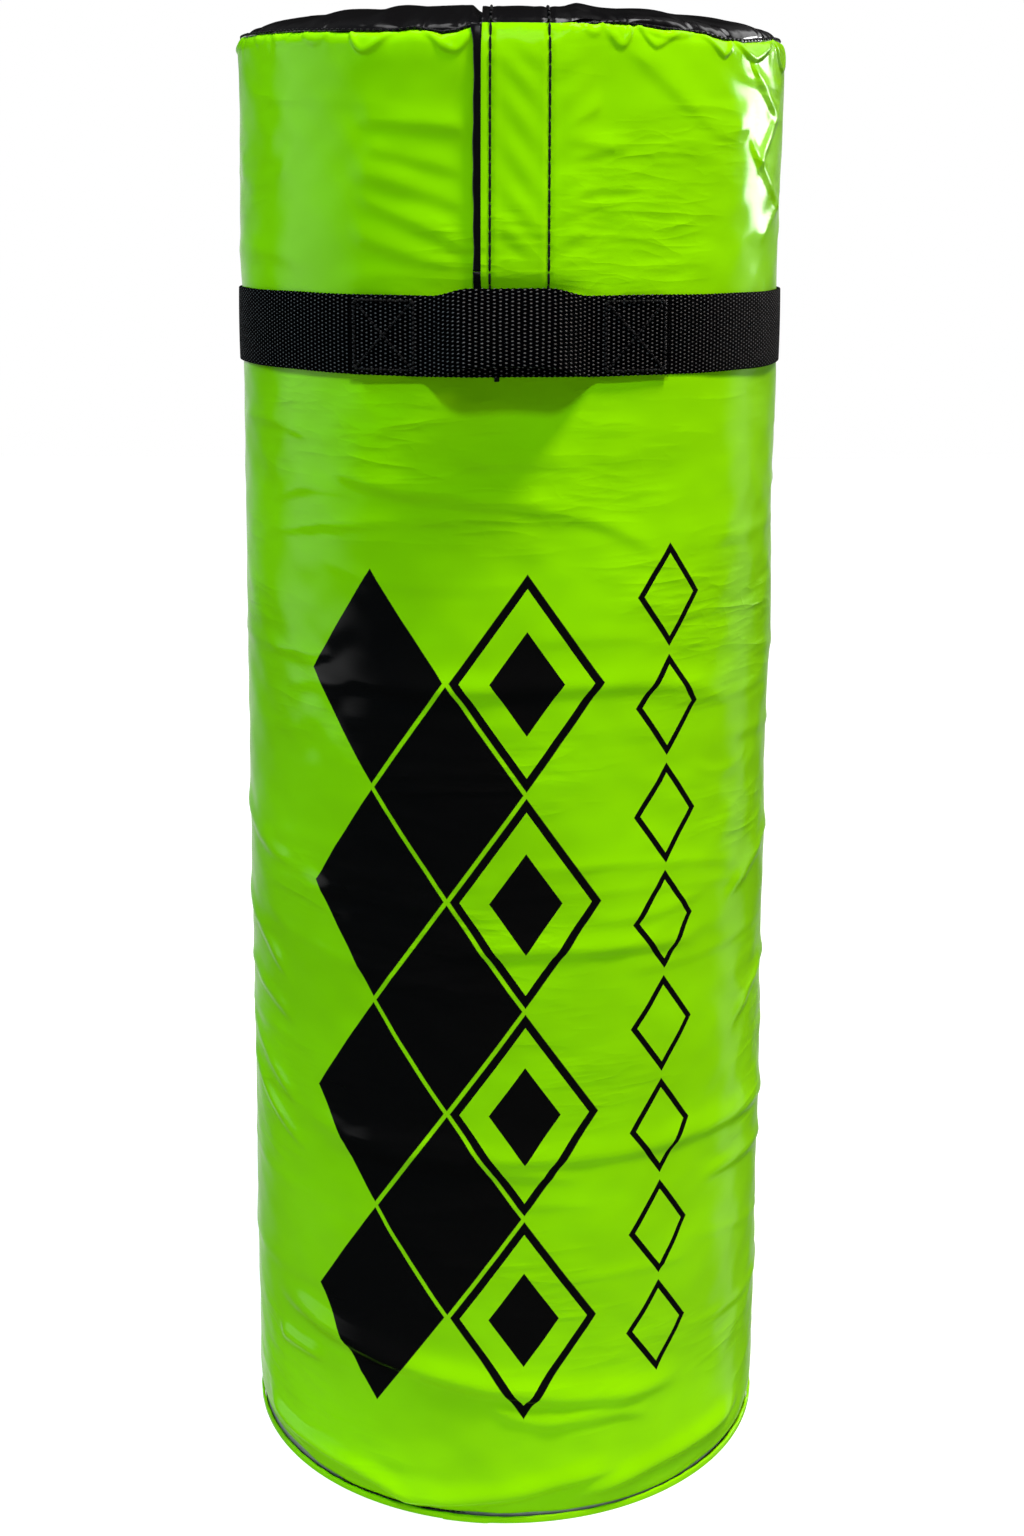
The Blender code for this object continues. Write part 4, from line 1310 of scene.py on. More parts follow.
class Palette:
    """All the finishes, by slot."""

    def __init__(self) -> None:
        """Builds the groups and the materials."""
        self.groups = {name: getattr(Pattern, name)() for name in
                       ("coated_face", "woven_face", "lozenges", "cellular", "handled")}
        self.materials = {
            Slot.LIME: CoatedFabric("lime_coated_fabric", (0.236, 0.655, 0.0), 0.36, 0.0008, True, 0.02),
            Slot.BLACK: CoatedFabric("black_coated_fabric", (0.0035, 0.0035, 0.0045), 0.18, 0.00016),
            # A tape's second colour, of its raised yarns, is partly a painted glint.
            Slot.WEBBING: WovenTape("black_webbing", (0.0003, 0.0003, 0.0005), (0.115, 0.115, 0.128)),
            Slot.THREAD: Thread("black_thread", (0.004, 0.004, 0.005)),
            Slot.HOOK: WovenTape("black_hook_tape", (0.006, 0.006, 0.006), (0.035, 0.035, 0.036),
                                 0.0017, 0.0015, 0.0005),
            Slot.LOOP: WovenTape("black_loop_tape", (0.010, 0.010, 0.011), (0.03, 0.03, 0.031),
                                 0.0007, 0.0006, 0.0002),
            Slot.FIRM_FOAM: Foam("grey_foam", (0.26, 0.27, 0.29), 900.0),
            Slot.SOFT_FOAM: Foam("cream_foam", (0.72, 0.69, 0.58), 600.0),
        }
        self.built = {slot: finish.build(self.groups) for slot, finish in self.materials.items()}

    def dress(self, obj: bpy.types.Object, slot: Slot, body: Body, *nodes: str) -> None:
        """Gives a piece its finish, its body if it rides on a single one, and hides the nodes it stands for.

        Args:
            obj: The piece.
            slot: Its finish.
            body: The body it rides on; for two bodies and two points, the piece joins no body and only has
                its placement baked into its mesh.
            nodes: The nodes that it replaces.
        """
        obj.data.materials.clear()
        obj.data.materials.append(self.built[slot])
        if isinstance(body, str):
            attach(obj, body)
        else:
            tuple(body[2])
            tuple(body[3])
            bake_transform(obj)
        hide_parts(*nodes)
        LOG.info("%s: %d faces, %s", obj.name, len(obj.data.polygons), slot.value)


def toned(colour: Colour, share: float, more: float = 0.0) -> Colour:
    """A colour with its parts scaled by a share, and more added."""
    return tuple(part * share + more for part in colour)


def new_material(name: str) -> tuple[bpy.types.Material, Graph, bpy.types.Node]:
    """A material with its graph and its shader.

    Args:
        name: The material's name.

    Returns:
        The material, its graph and its shader node.
    """
    material = bpy.data.materials.new(name)
    material.use_nodes = True
    graph = Graph(material.node_tree)
    return material, graph, material.node_tree.nodes["Principled BSDF"]


@dataclass(frozen=True)
class CoatedFabric:
    """A fabric with a smooth plastic face."""

    name: str
    colour: Colour
    roughness: float
    crease: float
    printed: bool = False
    gloss: float = 0.5
    ink: Colour = (0.0028, 0.0028, 0.0032)

    def build(self, groups: dict[str, bpy.types.NodeTree]) -> bpy.types.Material:
        """The finish as a material.

        Args:
            groups: The shared node groups by name.

        Returns:
            The material.
        """
        material, graph, shader = new_material(self.name)
        flat = graph.flat()
        face = graph.group(groups["coated_face"], {"Flat": flat, "Crease": self.crease, "Grain": 0.000012})
        rubs = graph.group(groups["handled"], {"Place": graph.place()}).outputs["Mask"]
        tone = graph.noise(graph.stretched(flat, (7, 12, 1)), 1.0, 3)
        colour = graph.tint(graph.ramp(tone, 0.3, 0.7), toned(self.colour, 0.90), toned(self.colour, 1.06))
        roughness = graph.math("MULTIPLY_ADD", face.outputs["Polish"], 0.10, self.roughness - 0.05)
        colour = graph.tint(graph.math("MULTIPLY", rubs, 0.16), colour, toned(self.colour, 0.75, 0.01))
        if self.printed:
            mask = 0.0
            for item in PRINTS:
                shape = graph.group(groups["lozenges"], {
                    "Flat": flat, "Arc": item.arc, "First": item.first, "Pitch": item.pitch,
                    "Count": item.count, "Half Width": item.half_width, "Half Height": item.half_height,
                    "Line": item.line})
                mask = graph.math("MAXIMUM", shape.outputs["Mask"], mask)
            colour = graph.tint(mask, colour, self.ink)
            roughness = graph.math("MULTIPLY_ADD", mask, 0.06, roughness)
        graph.feed(shader, {"Base Color": colour, "Specular IOR Level": self.gloss,
                            "Roughness": graph.math("MULTIPLY_ADD", rubs, 0.10, roughness),
                            "Coat Weight": 0.4, "Coat Roughness": 0.08})
        graph.bump(shader, face.outputs["Height"])
        return material


@dataclass(frozen=True)
class WovenTape:
    """A webbing or tape with staggered yarns; the raised yarns' lighter colour is partly their own tone and
    partly a painted glint.
    """

    name: str
    ground: Colour
    yarn_glint: Colour
    along: float = 0.0033
    across: float = 0.0025
    depth: float = 0.0004

    def build(self, groups: dict[str, bpy.types.NodeTree]) -> bpy.types.Material:
        """The finish as a material.

        Args:
            groups: The shared node groups by name.

        Returns:
            The material.
        """
        material, graph, shader = new_material(self.name)
        flat = graph.flat()
        weave = graph.group(groups["woven_face"], {"Flat": flat, "Along": self.along, "Across": self.across})
        tone = graph.noise(graph.stretched(flat, (40, 60, 1)), 1.0, 3)
        ground = graph.tint(tone, self.ground, toned(self.ground, 1.7))
        yarn_glint = weave.outputs["Yarn Glint"]
        # The raised yarns' lighter colour is partly a painted glint that stands in for their highlights.
        graph.feed(shader, {"Base Color": graph.tint(yarn_glint, ground, self.yarn_glint),
                            "Roughness": graph.math("MULTIPLY_ADD", yarn_glint, -0.25, 0.72),
                            "Specular IOR Level": 0.02})
        graph.bump(shader, weave.outputs["Height"], self.depth)
        return material


@dataclass(frozen=True)
class Thread:
    """Twisted sewing thread."""

    name: str
    colour: Colour

    def build(self, groups: dict[str, bpy.types.NodeTree]) -> bpy.types.Material:
        """The finish as a material.

        Args:
            groups: The shared node groups by name.

        Returns:
            The material.
        """
        material, graph, shader = new_material(self.name)
        twist = graph.node("ShaderNodeTexWave", {"Vector": graph.place(), "Scale": 420.0, "Distortion": 1.5,
                                                 "Detail": 1.0}, bands_direction="DIAGONAL").outputs["Fac"]
        graph.feed(shader, {"Base Color": graph.tint(twist, self.colour, toned(self.colour, 2.6)),
                            "Roughness": graph.math("MULTIPLY_ADD", twist, 0.15, 0.45)})
        graph.bump(shader, twist, 0.0001, 0.8)
        return material


@dataclass(frozen=True)
class Foam:
    """Cut open-cell foam."""

    name: str
    colour: Colour
    cells: float

    def build(self, groups: dict[str, bpy.types.NodeTree]) -> bpy.types.Material:
        """The finish as a material.

        Args:
            groups: The shared node groups by name.

        Returns:
            The material.
        """
        material, graph, shader = new_material(self.name)
        body = graph.group(groups["cellular"], {"Place": graph.place(), "Cells": self.cells})
        tone = body.outputs["Tone"]
        graph.feed(shader, {"Base Color": graph.tint(tone, toned(self.colour, 0.8), self.colour),
                            "Roughness": graph.math("MULTIPLY_ADD", tone, 0.1, 0.88)})
        graph.bump(shader, body.outputs["Height"])
        return material


@dataclass(frozen=True)
class LidFold:
    """A soft fold on the lid that starts near the rim and leans on its way in."""

    degrees: float
    lean: float
    width: float
    rise: float
    outer: float = 0.172
    inner: float = 0.060


@dataclass(frozen=True)
class Puff:
    """A part of the lid that bulges between two tight places of its seam."""

    degrees: float
    half_width: float
    rise: float


@dataclass(frozen=True)
class Pucker:
    """A thin crest that loops down from the seam and back up to it, its inside slightly raised."""

    first: float
    last: float
    depth: float
    rise: float
    width: float = 0.0015
    point: float = 2.0
    lean: float = 0.0


@dataclass
class Face:
    """The outer face of the side and the lid as they hang, with their folds and gathered rim."""

    bag: Bag
    line: Outline
    rim: RimGather
    relief: CoverRelief
    lid_folds: tuple[LidFold, ...] = (
        LidFold(-28, -10, 0.008, 0.0020), LidFold(-45, -14, 0.010, 0.0018), LidFold(-66, -12, 0.011, 0.0016),
        LidFold(-88, -8, 0.012, 0.0012), LidFold(38, 8, 0.010, 0.0014), LidFold(62, 10, 0.010, 0.0016),
        LidFold(84, 6, 0.012, 0.0010), LidFold(118, -10, 0.012, 0.0014), LidFold(152, 12, 0.010, 0.0013),
        LidFold(-122, 10, 0.012, 0.0014), LidFold(-158, -12, 0.010, 0.0012))
    strip_dip: float = 0.0042
    # Edge and fade of the dip under the strip: on its left, on its right and behind
    dip_left: tuple[float, float] = (-0.0245, 0.006)
    dip_right: tuple[float, float] = (0.042, 0.016)
    dip_back: tuple[float, float] = (0.078, 0.014)
    side_puff: float = 0.0022
    puffs: tuple[Puff, ...] = (
        Puff(17, 5, 0.0016), Puff(30.5, 8, 0.0042), Puff(44, 6, 0.0036), Puff(59.5, 9, 0.0040),
        Puff(78, 9, 0.0026), Puff(-12.5, 4.5, 0.0024), Puff(-19, 3, 0.0008), Puff(-31, 9, 0.0018),
        Puff(-49, 9, 0.0018), Puff(-65, 7, 0.0016), Puff(-79, 7, 0.0016), Puff(104, 13, 0.0024),
        Puff(131, 12, 0.0030), Puff(157, 12, 0.0026), Puff(-104, 14, 0.0028), Puff(-135, 14, 0.0024),
        Puff(-166, 14, 0.0030))
    puckers: tuple[Pucker, ...] = (
        Pucker(13.4, 17.6, 0.0065, 0.0010), Pucker(17.4, 23.4, 0.0135, 0.0014, lean=0.25),
        Pucker(24.0, 38.0, 0.0052, 0.0010), Pucker(36.5, 49.5, 0.0115, 0.0013, point=1.5, lean=0.55),
        Pucker(50.0, 69.0, 0.0125, 0.0014, point=1.5, lean=-0.2),
        Pucker(68.5, 84.0, 0.0190, 0.0014, point=1.9), Pucker(-16.2, -6.6, 0.0130, 0.0014, lean=0.3),
        Pucker(-44.6, -37.4, 0.0080, 0.0007, 0.0020), Pucker(-55.2, -49.0, 0.0070, 0.0006, 0.0020),
        Pucker(-63.5, -57.0, 0.0070, 0.0006, 0.0018), Pucker(-86, -74.0, 0.0090, 0.0012),
        Pucker(95, 108, 0.0140, 0.0012), Pucker(126, 141, 0.0160, 0.0012), Pucker(150, 160, 0.0100, 0.0012),
        Pucker(-108, -96, 0.0120, 0.0012), Pucker(-139, -124, 0.0150, 0.0012),
        Pucker(-165, -150, 0.0120, 0.0012))

    def _lid_relief(self, arc: Array, radius: Array) -> Array:
        """How far the lid's folds stand off it.

        Args:
            arc: Arcs from the front line.
            radius: Distances from the bag's axis.

        Returns:
            The heights.
        """
        total = np.zeros(arc.shape)
        for fold in self.lid_folds:
            share = (fold.outer - radius) / (fold.outer - fold.inner)
            turn = np.degrees(arc / self.bag.radius) - fold.degrees - fold.lean * share
            distance = radius * np.radians((turn + 180) % 360 - 180)
            ends = smooth(share / 0.2 + 0.4) * smooth((1 - share) / 0.8)
            total += fold.rise * bell(distance, fold.width) * ends
        angle = arc / self.bag.radius
        across, along = radius * np.sin(angle), -radius * np.cos(angle)
        left, left_fade = self.dip_left
        right, right_fade = self.dip_right
        back, back_fade = self.dip_back
        flat = (smooth((across - left) / left_fade) * smooth((right - across) / right_fade)
                * smooth((back - along) / back_fade))
        return total * (1 - flat) - self.strip_dip * flat * smooth((0.180 - radius) / 0.030)

    def _puffed(self, arc: Array, run: Array) -> Array:
        """How far the lid's edge bulges between the tight places of its seam.

        Args:
            arc: Arcs from the front line.
            run: Runs from the rim's seam.

        Returns:
            The heights.
        """
        degrees = np.degrees(arc / self.bag.radius)
        total = self.side_puff * np.sin(np.radians(degrees)) ** 2 * bell(run, 0.05) * smooth(-run / 0.012)
        for puff in self.puffs:
            share = np.clip(1 - ((degrees - puff.degrees) / puff.half_width) ** 2, 0, 1)
            total += puff.rise * np.sqrt(share) * smooth(-run / 0.006) * bell(run + 0.008, 0.014)
        return total

    def _puckered(self, arc: Array, run: Array) -> Array:
        """How far the crests under the seam stand out.

        Args:
            arc: Arcs from the front line.
            run: Runs from the rim's seam.

        Returns:
            The heights.
        """
        degrees = np.degrees(arc / self.bag.radius)
        total = np.zeros(arc.shape)
        for fold in self.puckers:
            half = (fold.last - fold.first) / 2
            turn = (degrees - fold.first - half) / half
            turn = turn - fold.lean * (1 - turn ** 2)
            low = fold.depth * (1 - np.abs(turn) ** fold.point)
            slope = fold.depth * fold.point / (np.radians(half) * self.bag.radius)
            away = (run - low) / np.sqrt(1 + (slope * np.minimum(np.abs(turn), 1)) ** 2)
            ends = smooth((1.15 - np.abs(turn)) / 0.15) * smooth(run / 0.0015)
            crest = np.where(away > 0, bell(away, fold.width), bell(away, fold.width * 2.2))
            total += fold.rise * ends * (crest + 0.35 * smooth(-away / 0.003))
        return total

    def at(self, arc: Array, run: Array, rise: Array | float = 0.0) -> Array:
        """Points of the face, or this far off it.

        Args:
            arc: Arcs from the front line.
            run: Runs from the rim.
            rise: Distances off the face.

        Returns:
            The points.
        """
        arc, run = np.broadcast_arrays(np.asarray(arc, float), np.asarray(run, float))
        radius, height = self.line.at(run)
        out_r, out_z = self.line.outward(run)
        moved = self.rim.moved(arc, run)
        side = self.relief.at(arc, height) + self._puckered(arc, run)
        stand = rise + np.where(run > 0, side, self._lid_relief(arc, radius) + self._puffed(arc, run))
        reach = radius + out_r * stand + moved[..., 0]
        angle = arc / self.bag.radius
        return stack(reach * np.sin(angle) + moved[..., 1] * np.cos(angle),
                     -reach * np.cos(angle) + moved[..., 1] * np.sin(angle),
                     height + out_z * stand + moved[..., 2])


@dataclass
class SubAssembly:
    """Pieces made together: what they lie on, their finishes and their thread."""

    face: Face
    palette: Palette
    stitcher: Stitcher

    @property
    def bag(self) -> Bag:
        """The bag's sizes."""
        return self.face.bag

    def sew(self, name: str, node: str, lines: Sequence[tuple[Array, Array]], pitch: float,
            body: Body = "bag", **sizes: float) -> None:
        """Sews stitches along lines, as one piece.

        Args:
            name: The piece's name.
            node: The node that it replaces.
            lines: Points of each line, and the outward direction at each.
            pitch: Distance from one needle hole to the next.
            body: The body it rides on, or two bodies and two points, as Palette.dress takes them.
            sizes: The stitches' share and how deep they are sunk, as Stitcher.row takes them.
        """
        row = self.stitcher.row(name, lines, pitch, **sizes)
        self.palette.dress(row, Slot.THREAD, body, node)


@dataclass
class Cover(SubAssembly):
    """The lime side with its slit, foot binding, base panel and back seam."""

    fine_runs: tuple[float, float, float] = (0.024, 0.090, 0.940)
    slit_low: float = 0.841
    binding_low: float = 0.0002
    binding_top: float = 0.0046
    binding_radius: float = 0.1866
    # First and last degree, and fade, of the binding's own lap
    binding_lap: tuple[float, float, float] = (-13.6, -3.2, 0.7)
    # Radius and height of the base panel's section, from its lower middle to its upper one
    panel_profile: tuple[tuple[float, float], ...] = (
        (0.0, 0.0), (0.160, 0.0), (0.183, 0.0), (0.1848, 0.0004), (0.1850, 0.0009), (0.183, 0.0012),
        (0.160, 0.0011), (0.0, 0.0010))
    seam_height: float = 0.0052
    seam_thread: float = 0.0005
    seam_pitch: float = 0.0036
    back_low: float = 0.0162
    back_top: float = 0.985
    back_half: float = 0.010
    back_shares: tuple[float, ...] = (0.2, 0.5, 0.6, 0.7, 0.93, 0.985, 1.0)
    back_rows: float = 0.006
    back_pitch: float = 0.0044

    def side(self) -> None:
        """The tube: finer near its gathered rim, and slit under the strip."""
        line, bag = self.face.line, self.bag
        first, second, third, last = *self.fine_runs, line.side_length
        low_runs = np.concatenate([np.linspace(second, third, 285), np.linspace(third, last, 30)[1:]])
        bm = Sheets.banded(bag.span, [(1440, np.linspace(0, first, 25)),
                                      (720, np.linspace(first, second, 25)), (360, low_runs)])
        low = float(line.run_at_height(self.slit_low))
        Sheets.cut_window(bm, (bag.slit[0], -0.001), (bag.slit[1], low), (0.01, 0.01))
        bmesh.ops.reverse_faces(bm, faces=bm.faces)
        side = Sheets.lay("lime_cover_side", bm, self.face.at, self._pattern)
        Sheets.hem(side, bag.hem)
        self.palette.dress(side, Slot.LIME, "bag", "cover_side")

    def _pattern(self, arc: Array, run: Array) -> Array:
        """The side's pattern coordinates: arcs and heights."""
        return stack(arc, self.face.line.at(run)[1])

    def foot(self) -> None:
        """The binding round the foot, its seam line and the base panel."""
        bag = self.bag
        height = self.binding_top - self.binding_low
        section = rounded_bar((-0.0011, 0.0), (0.0009, height), 0.0007, 3)

        def bound(arc: Array, out: Array, up: Array) -> Array:
            """Points of the binding, with its puckers and its lap.

            Args:
                arc: Arcs from the front line.
                out: Distances off its radius.
                up: Heights off its lower edge.

            Returns:
                The points.
            """
            lap = window(np.degrees(arc / bag.radius), *self.binding_lap)
            pucker = 0.00022 * np.cos(arc / 0.0031 + 1.7 * np.sin(arc / 0.021)) * up / height
            reach = self.binding_radius + out + pucker + 0.0007 * lap * (out > 0)
            lifted = self.binding_low + up * (1 + 0.06 * lap + 0.05 * np.sin(arc / 0.017))
            return polar(reach, arc / bag.radius, lifted)

        binding = Sheets.swept("foot_binding", np.linspace(*bag.span, 721), section, bound, capped=False)
        self.palette.dress(binding, Slot.LIME, "bag", "base_binding")
        arcs = np.linspace(*bag.span, 1441)
        points = self.face.at(arcs, self.face.line.run_at_height(self.seam_height))
        seam = Stitcher(self.seam_thread).row("foot_seam_stitches", [(points, bag.outward(arcs, -0.3))],
                                              self.seam_pitch)
        self.palette.dress(seam, Slot.THREAD, "bag", "base_seam_thread")
        panel = Sheets.turned("base_panel", self.panel_profile, 240, bag)
        self.palette.dress(panel, Slot.LIME, "bag", "cover_base")

    def back_seam(self) -> None:
        """The side's lap seam down the back, with two rows of stitches."""
        bag = self.bag
        low, high = self.face.line.run_at_height([self.back_low, self.back_top])
        shares = np.array(self.back_shares)
        arcs = bag.half_turn + np.concatenate([-shares[::-1], shares]) * self.back_half
        bm = Sheets.grid(arcs, np.linspace(low, high, 330))

        def lapped(arc: Array, run: Array) -> Array:
            """Points of the back strip, which its rows draw in.

            Args:
                arc: Arcs from the front line.
                run: Runs from the rim's seam.

            Returns:
                The points.
            """
            across = (arc - bag.half_turn) / self.back_half
            rise = 0.0013 * (1 - np.abs(across) ** 14)
            for side in (-1, 1):
                rise -= 0.00045 * bell(across * self.back_half - side * self.back_rows, 0.0013)
            frayed = 0.00012 * np.sin(run / 0.0014) * (np.abs(across) > 0.95)
            return self.face.at(arc, run, rise + frayed)

        strip = Sheets.lay("back_seam_lap", bm, lapped, self._pattern)
        self.palette.dress(strip, Slot.LIME, "bag", "back_seam_strip")
        for name, side in (("left", 1), ("right", -1)):
            run = np.linspace(high, low, 900)
            arc = np.full_like(run, bag.half_turn + side * self.back_rows)
            self.sew(f"back_seam_stitches_{name}", f"back_seam_thread_{name}",
                     [(self.face.at(arc, run, 0.0009), bag.outward(arc))], self.back_pitch)

    def build(self) -> None:
        """Makes all of the cover's pieces."""
        self.side()
        self.foot()
        self.back_seam()


@dataclass
class Lid(SubAssembly):
    """The black domed lid, its welt and its stitches."""

    # Run at the outer end of each band after the middle one, then the columns and rows of all five
    band_runs: tuple[float, ...] = (-0.150, -0.110, -0.060, 0)
    band_columns: tuple[int, ...] = (45, 90, 180, 360, 720)
    band_rows: tuple[int, ...] = (7, 7, 14, 24, 34)
    middle_band: float = 0.022
    slit_back: float = 0.050
    welt_radius: float = 0.0016
    welt_out: float = -0.0002
    welt_up: float = 0.0012
    stitch_pitch: float = 0.0046

    def dome(self) -> None:
        """The puffed panel, slit under the strip."""
        bag, length = self.bag, self.face.line.lid_length
        ends = (-length, -length + self.middle_band, *self.band_runs)
        bands = [(columns, np.linspace(start, end, rows)) for columns, start, end, rows in
                 zip(self.band_columns, ends, ends[1:], self.band_rows)]
        dome = Sheets.lay("black_lid_dome", Sheets.banded(bag.span, bands), self.face.at, self._pattern)
        with edited(dome.data) as bm:
            Sheets.cut_window(bm, (bag.slit[0], -math.inf), (bag.slit[1], self.slit_back), (0.02, math.inf))
        Sheets.face_up(dome)
        Sheets.hem(dome, bag.hem)
        self.palette.dress(dome, Slot.BLACK, "bag", "lid_panel")

    def _pattern(self, arc: Array, run: Array) -> Array:
        """The lid's pattern coordinates: its plan seen from above."""
        radius, angle = self.face.line.at(run)[0], arc / self.bag.radius
        return stack(radius * np.sin(angle), radius * np.cos(angle))

    def welt(self) -> None:
        """The rolled seam round the lid's edge, which follows the rim's waves."""
        bag = self.bag
        turn = np.linspace(0, math.tau, 10, endpoint=False)
        section = self.welt_radius * stack(np.cos(turn), np.sin(turn))

        def rolled(arc: Array, out: Array | float, up: Array | float) -> Array:
            """Points of the welt's roll, which is a little uneven.

            Args:
                arc: Arcs from the front line.
                out: Distances off its middle.
                up: Heights off its middle.

            Returns:
                The points.
            """
            twist = 1 + 0.12 * np.sin(arc / 0.0049 + 2 * np.sin(arc / 0.037)) + 0.05 * np.sin(arc / 0.0021)
            off = polar(self.welt_out + out * twist, arc / bag.radius, self.welt_up + up * twist)
            return self.face.at(arc, 0.0) + off

        welt = Sheets.swept("lid_welt_roll", np.linspace(*bag.span, 1081), section, rolled, capped=False)
        self.palette.dress(welt, Slot.BLACK, "bag", "lid_welt")
        arcs = np.linspace(*bag.span, 2400)
        self.sew("lid_seam_stitches", "lid_seam_thread",
                 [(rolled(arcs, self.welt_radius * 0.75, 0.0004), bag.outward(arcs, 0.35))],
                 self.stitch_pitch, share=0.5, sunk=0.5)

    def build(self) -> None:
        """Makes all of the lid's pieces."""
        self.dome()
        self.welt()


@dataclass
class StripShape:
    """The closure strip's outer face, flat on the front and arched over the lid.

    Its run is 0 where the arch starts, positive down the front and negative over the lid. A level is a
    distance off its outer face.
    """

    face: Face
    rise: float = 0.0041
    edge_rise: float = -0.00004
    arch_start: float = 0.9965
    border: float = 0.0004
    hinge_arc: float = 0.026
    mixed_arc: float = 0.050
    right: float = 0.0647
    arch_base: float = 0.9968
    shoulder_inset: float = 0.0055
    shoulder_run: float = 0.024
    arch_rise: float = 0.0145
    arch_crown: float = 0.0035
    back: float = 0.060
    stitch_arcs: tuple[float, float] = (-0.012, 0.0235)
    groove: float = 0.00045
    dimple: float = 0.00045
    swell: float = 0.00022
    swell_off: float = 0.0042
    stitch_pitch: float = 0.0084
    arch: Array | None = None

    def __post_init__(self) -> None:
        """Measures the arch."""
        step = np.linspace(-1, 1 - math.sqrt(1 - self.back / self.reach), 2400)
        share = np.copysign(1 - (1 - np.abs(step)) ** 2, step)
        height = domed(share, self.arch_rise, self.arch_crown)
        steps = np.hypot((self.reach - self.shoulder_inset) * np.diff(share), np.diff(height))
        self.arch = np.stack([np.concatenate([[0], np.cumsum(steps)]), share])

    @property
    def reach(self) -> float:
        """Radius of the strip's outer face on the front."""
        return self.face.bag.radius + self.rise

    @property
    def end(self) -> float:
        """Run of the strip's back end."""
        return -float(self.arch[0, -1])

    def flat_at(self, arc: Array, run: Array, level: Array | float = 0.0) -> Array:
        """Points of the strip where it stands off the bag.

        Args:
            arc: Arcs from the front line.
            run: Runs from the arch's start.
            level: Distances off its outer face.

        Returns:
            The points.
        """
        arc, run = np.broadcast_arrays(np.asarray(arc, float), np.asarray(run, float))
        turn = arc / self.face.bag.radius
        drawn_in = self.shoulder_inset * np.clip(1 - run / self.shoulder_run, 0, 1) ** 2
        front = polar(self.reach + level - drawn_in, turn, self.arch_start - run)
        middle = np.interp(-run, *self.arch)
        edge = self.reach - self.shoulder_inset
        across = edge * np.sin(turn)
        along = edge * middle * np.sqrt(1 - (across / edge) ** 2)
        size = (self.arch_rise, self.arch_crown)
        height = self.arch_base + domed(np.hypot(across, along) / edge, *size)
        inner = np.clip(np.abs(middle), 0.002, 0.996)
        drop = (domed(inner - 0.002, *size) - domed(inner + 0.002, *size)) / (0.004 * edge)
        lean = np.arctan(drop) + (math.pi / 2 - np.arctan(drop)) * smooth((np.abs(middle) - 0.97) / 0.03)
        over = stack(across, along + np.copysign(level * np.sin(lean), middle), height + level * np.cos(lean))
        return np.where((run >= 0)[..., None], front, over)

    def fall(self, arc: Array) -> Array:
        """Height of the strip's face off the bag's, falling away right of its hinge line."""
        share = smooth((np.asarray(arc) - self.hinge_arc) / (self.right - self.hinge_arc))
        return self.rise + (self.edge_rise - self.rise) * share

    def sewn(self, arc: Array, run: Array) -> Array:
        """How far the rows of stitches draw the face in.

        Args:
            arc: Arcs from the front line.
            run: Runs of the strip.

        Returns:
            The heights, below 0 in the stitches.
        """
        total = np.zeros(np.broadcast(arc, run).shape)
        hole = (np.asarray(run) / self.stitch_pitch + 0.5) % 1 - 0.5
        for row in self.stitch_arcs:
            total -= self.groove * bell(arc - row, 0.0017)
            total -= self.dimple * bell(arc - row, 0.0016) * bell(hole * self.stitch_pitch, 0.0017)
            for side in (-1, 1):
                total += self.swell * bell(arc - row + side * self.swell_off, 0.002)
        return total

    def ripple(self, arc: Array, run: Array) -> Array:
        """The strip's own slight waves.

        Args:
            arc: Arcs from the front line.
            run: Runs of the strip.

        Returns:
            The heights.
        """
        left = np.sin((run - arc) / 0.0037 + 1.1 * np.sin(run / 0.024)) * bell(arc - 0.006, 0.012)
        right = np.sin((run + 0.6 * arc) / 0.0033 + 1.3 * np.sin(run / 0.02)) * bell(arc - 0.036, 0.012)
        waves = 0.0004 * left + 0.0003 * right + 0.00025 * np.sin(run / 0.031 - 1.2)
        return waves * smooth(np.abs(run) / 0.03)

    def on_front(self, low: float, high_run: float, high_height: float) -> Place:
        """A place function for the skin on the front.

        Args:
            low: Height of its lower edge.
            high_run: Strip run of its upper edge.
            high_height: Height of its upper edge on the bag's own face.

        Returns:
            Points for arrays of arc and share from the lower edge up.
        """
        line = self.face.line
        face_low, face_high = float(line.run_at_height(low)), float(line.run_at_height(high_height))

        def place(arc: Array, share: Array) -> Array:
            """Points of the skin.

            Args:
                arc: Arcs from the front line.
                share: Shares of the way up.

            Returns:
                The points.
            """
            run = self.arch_start - low + (high_run - self.arch_start + low) * share
            relief = self.sewn(arc, run) + self.ripple(arc, run) * smooth(share / 0.1)
            off = self.flat_at(arc, run, relief)
            on = self.face.at(arc, face_low + (face_high - face_low) * share, self.fall(arc) + relief)
            return off + (on - off) * self.mix(arc)

        return place

    def mix(self, arc: Array) -> Array:
        """Share by which the skin follows the bag's own face."""
        return smooth((np.asarray(arc) - self.hinge_arc) / (self.mixed_arc - self.hinge_arc))[..., None]

    def on_lid(self, arc: Array, share: Array) -> Array:
        """Points of the skin over the lid, for arcs and shares from the rim to its back end.

        Args:
            arc: Arcs from the front line.
            share: Shares of the way from the rim to its back end.

        Returns:
            The points.
        """
        run = self.border + (self.end - self.border) * share
        relief = self.sewn(arc, run) + self.ripple(arc, run)
        off = self.flat_at(arc, run, relief)
        radius = np.hypot(off[..., 0], off[..., 1])
        bag, line = self.face.bag, self.face.line
        seam = line.at(np.array(0.0))[0]
        turn = np.arctan2(off[..., 0], -off[..., 1]) * bag.radius
        on = self.face.at(turn, line.run_at_radius(radius * seam / self.reach), self.fall(arc) + relief)
        return off + (on - off) * self.mix(arc)


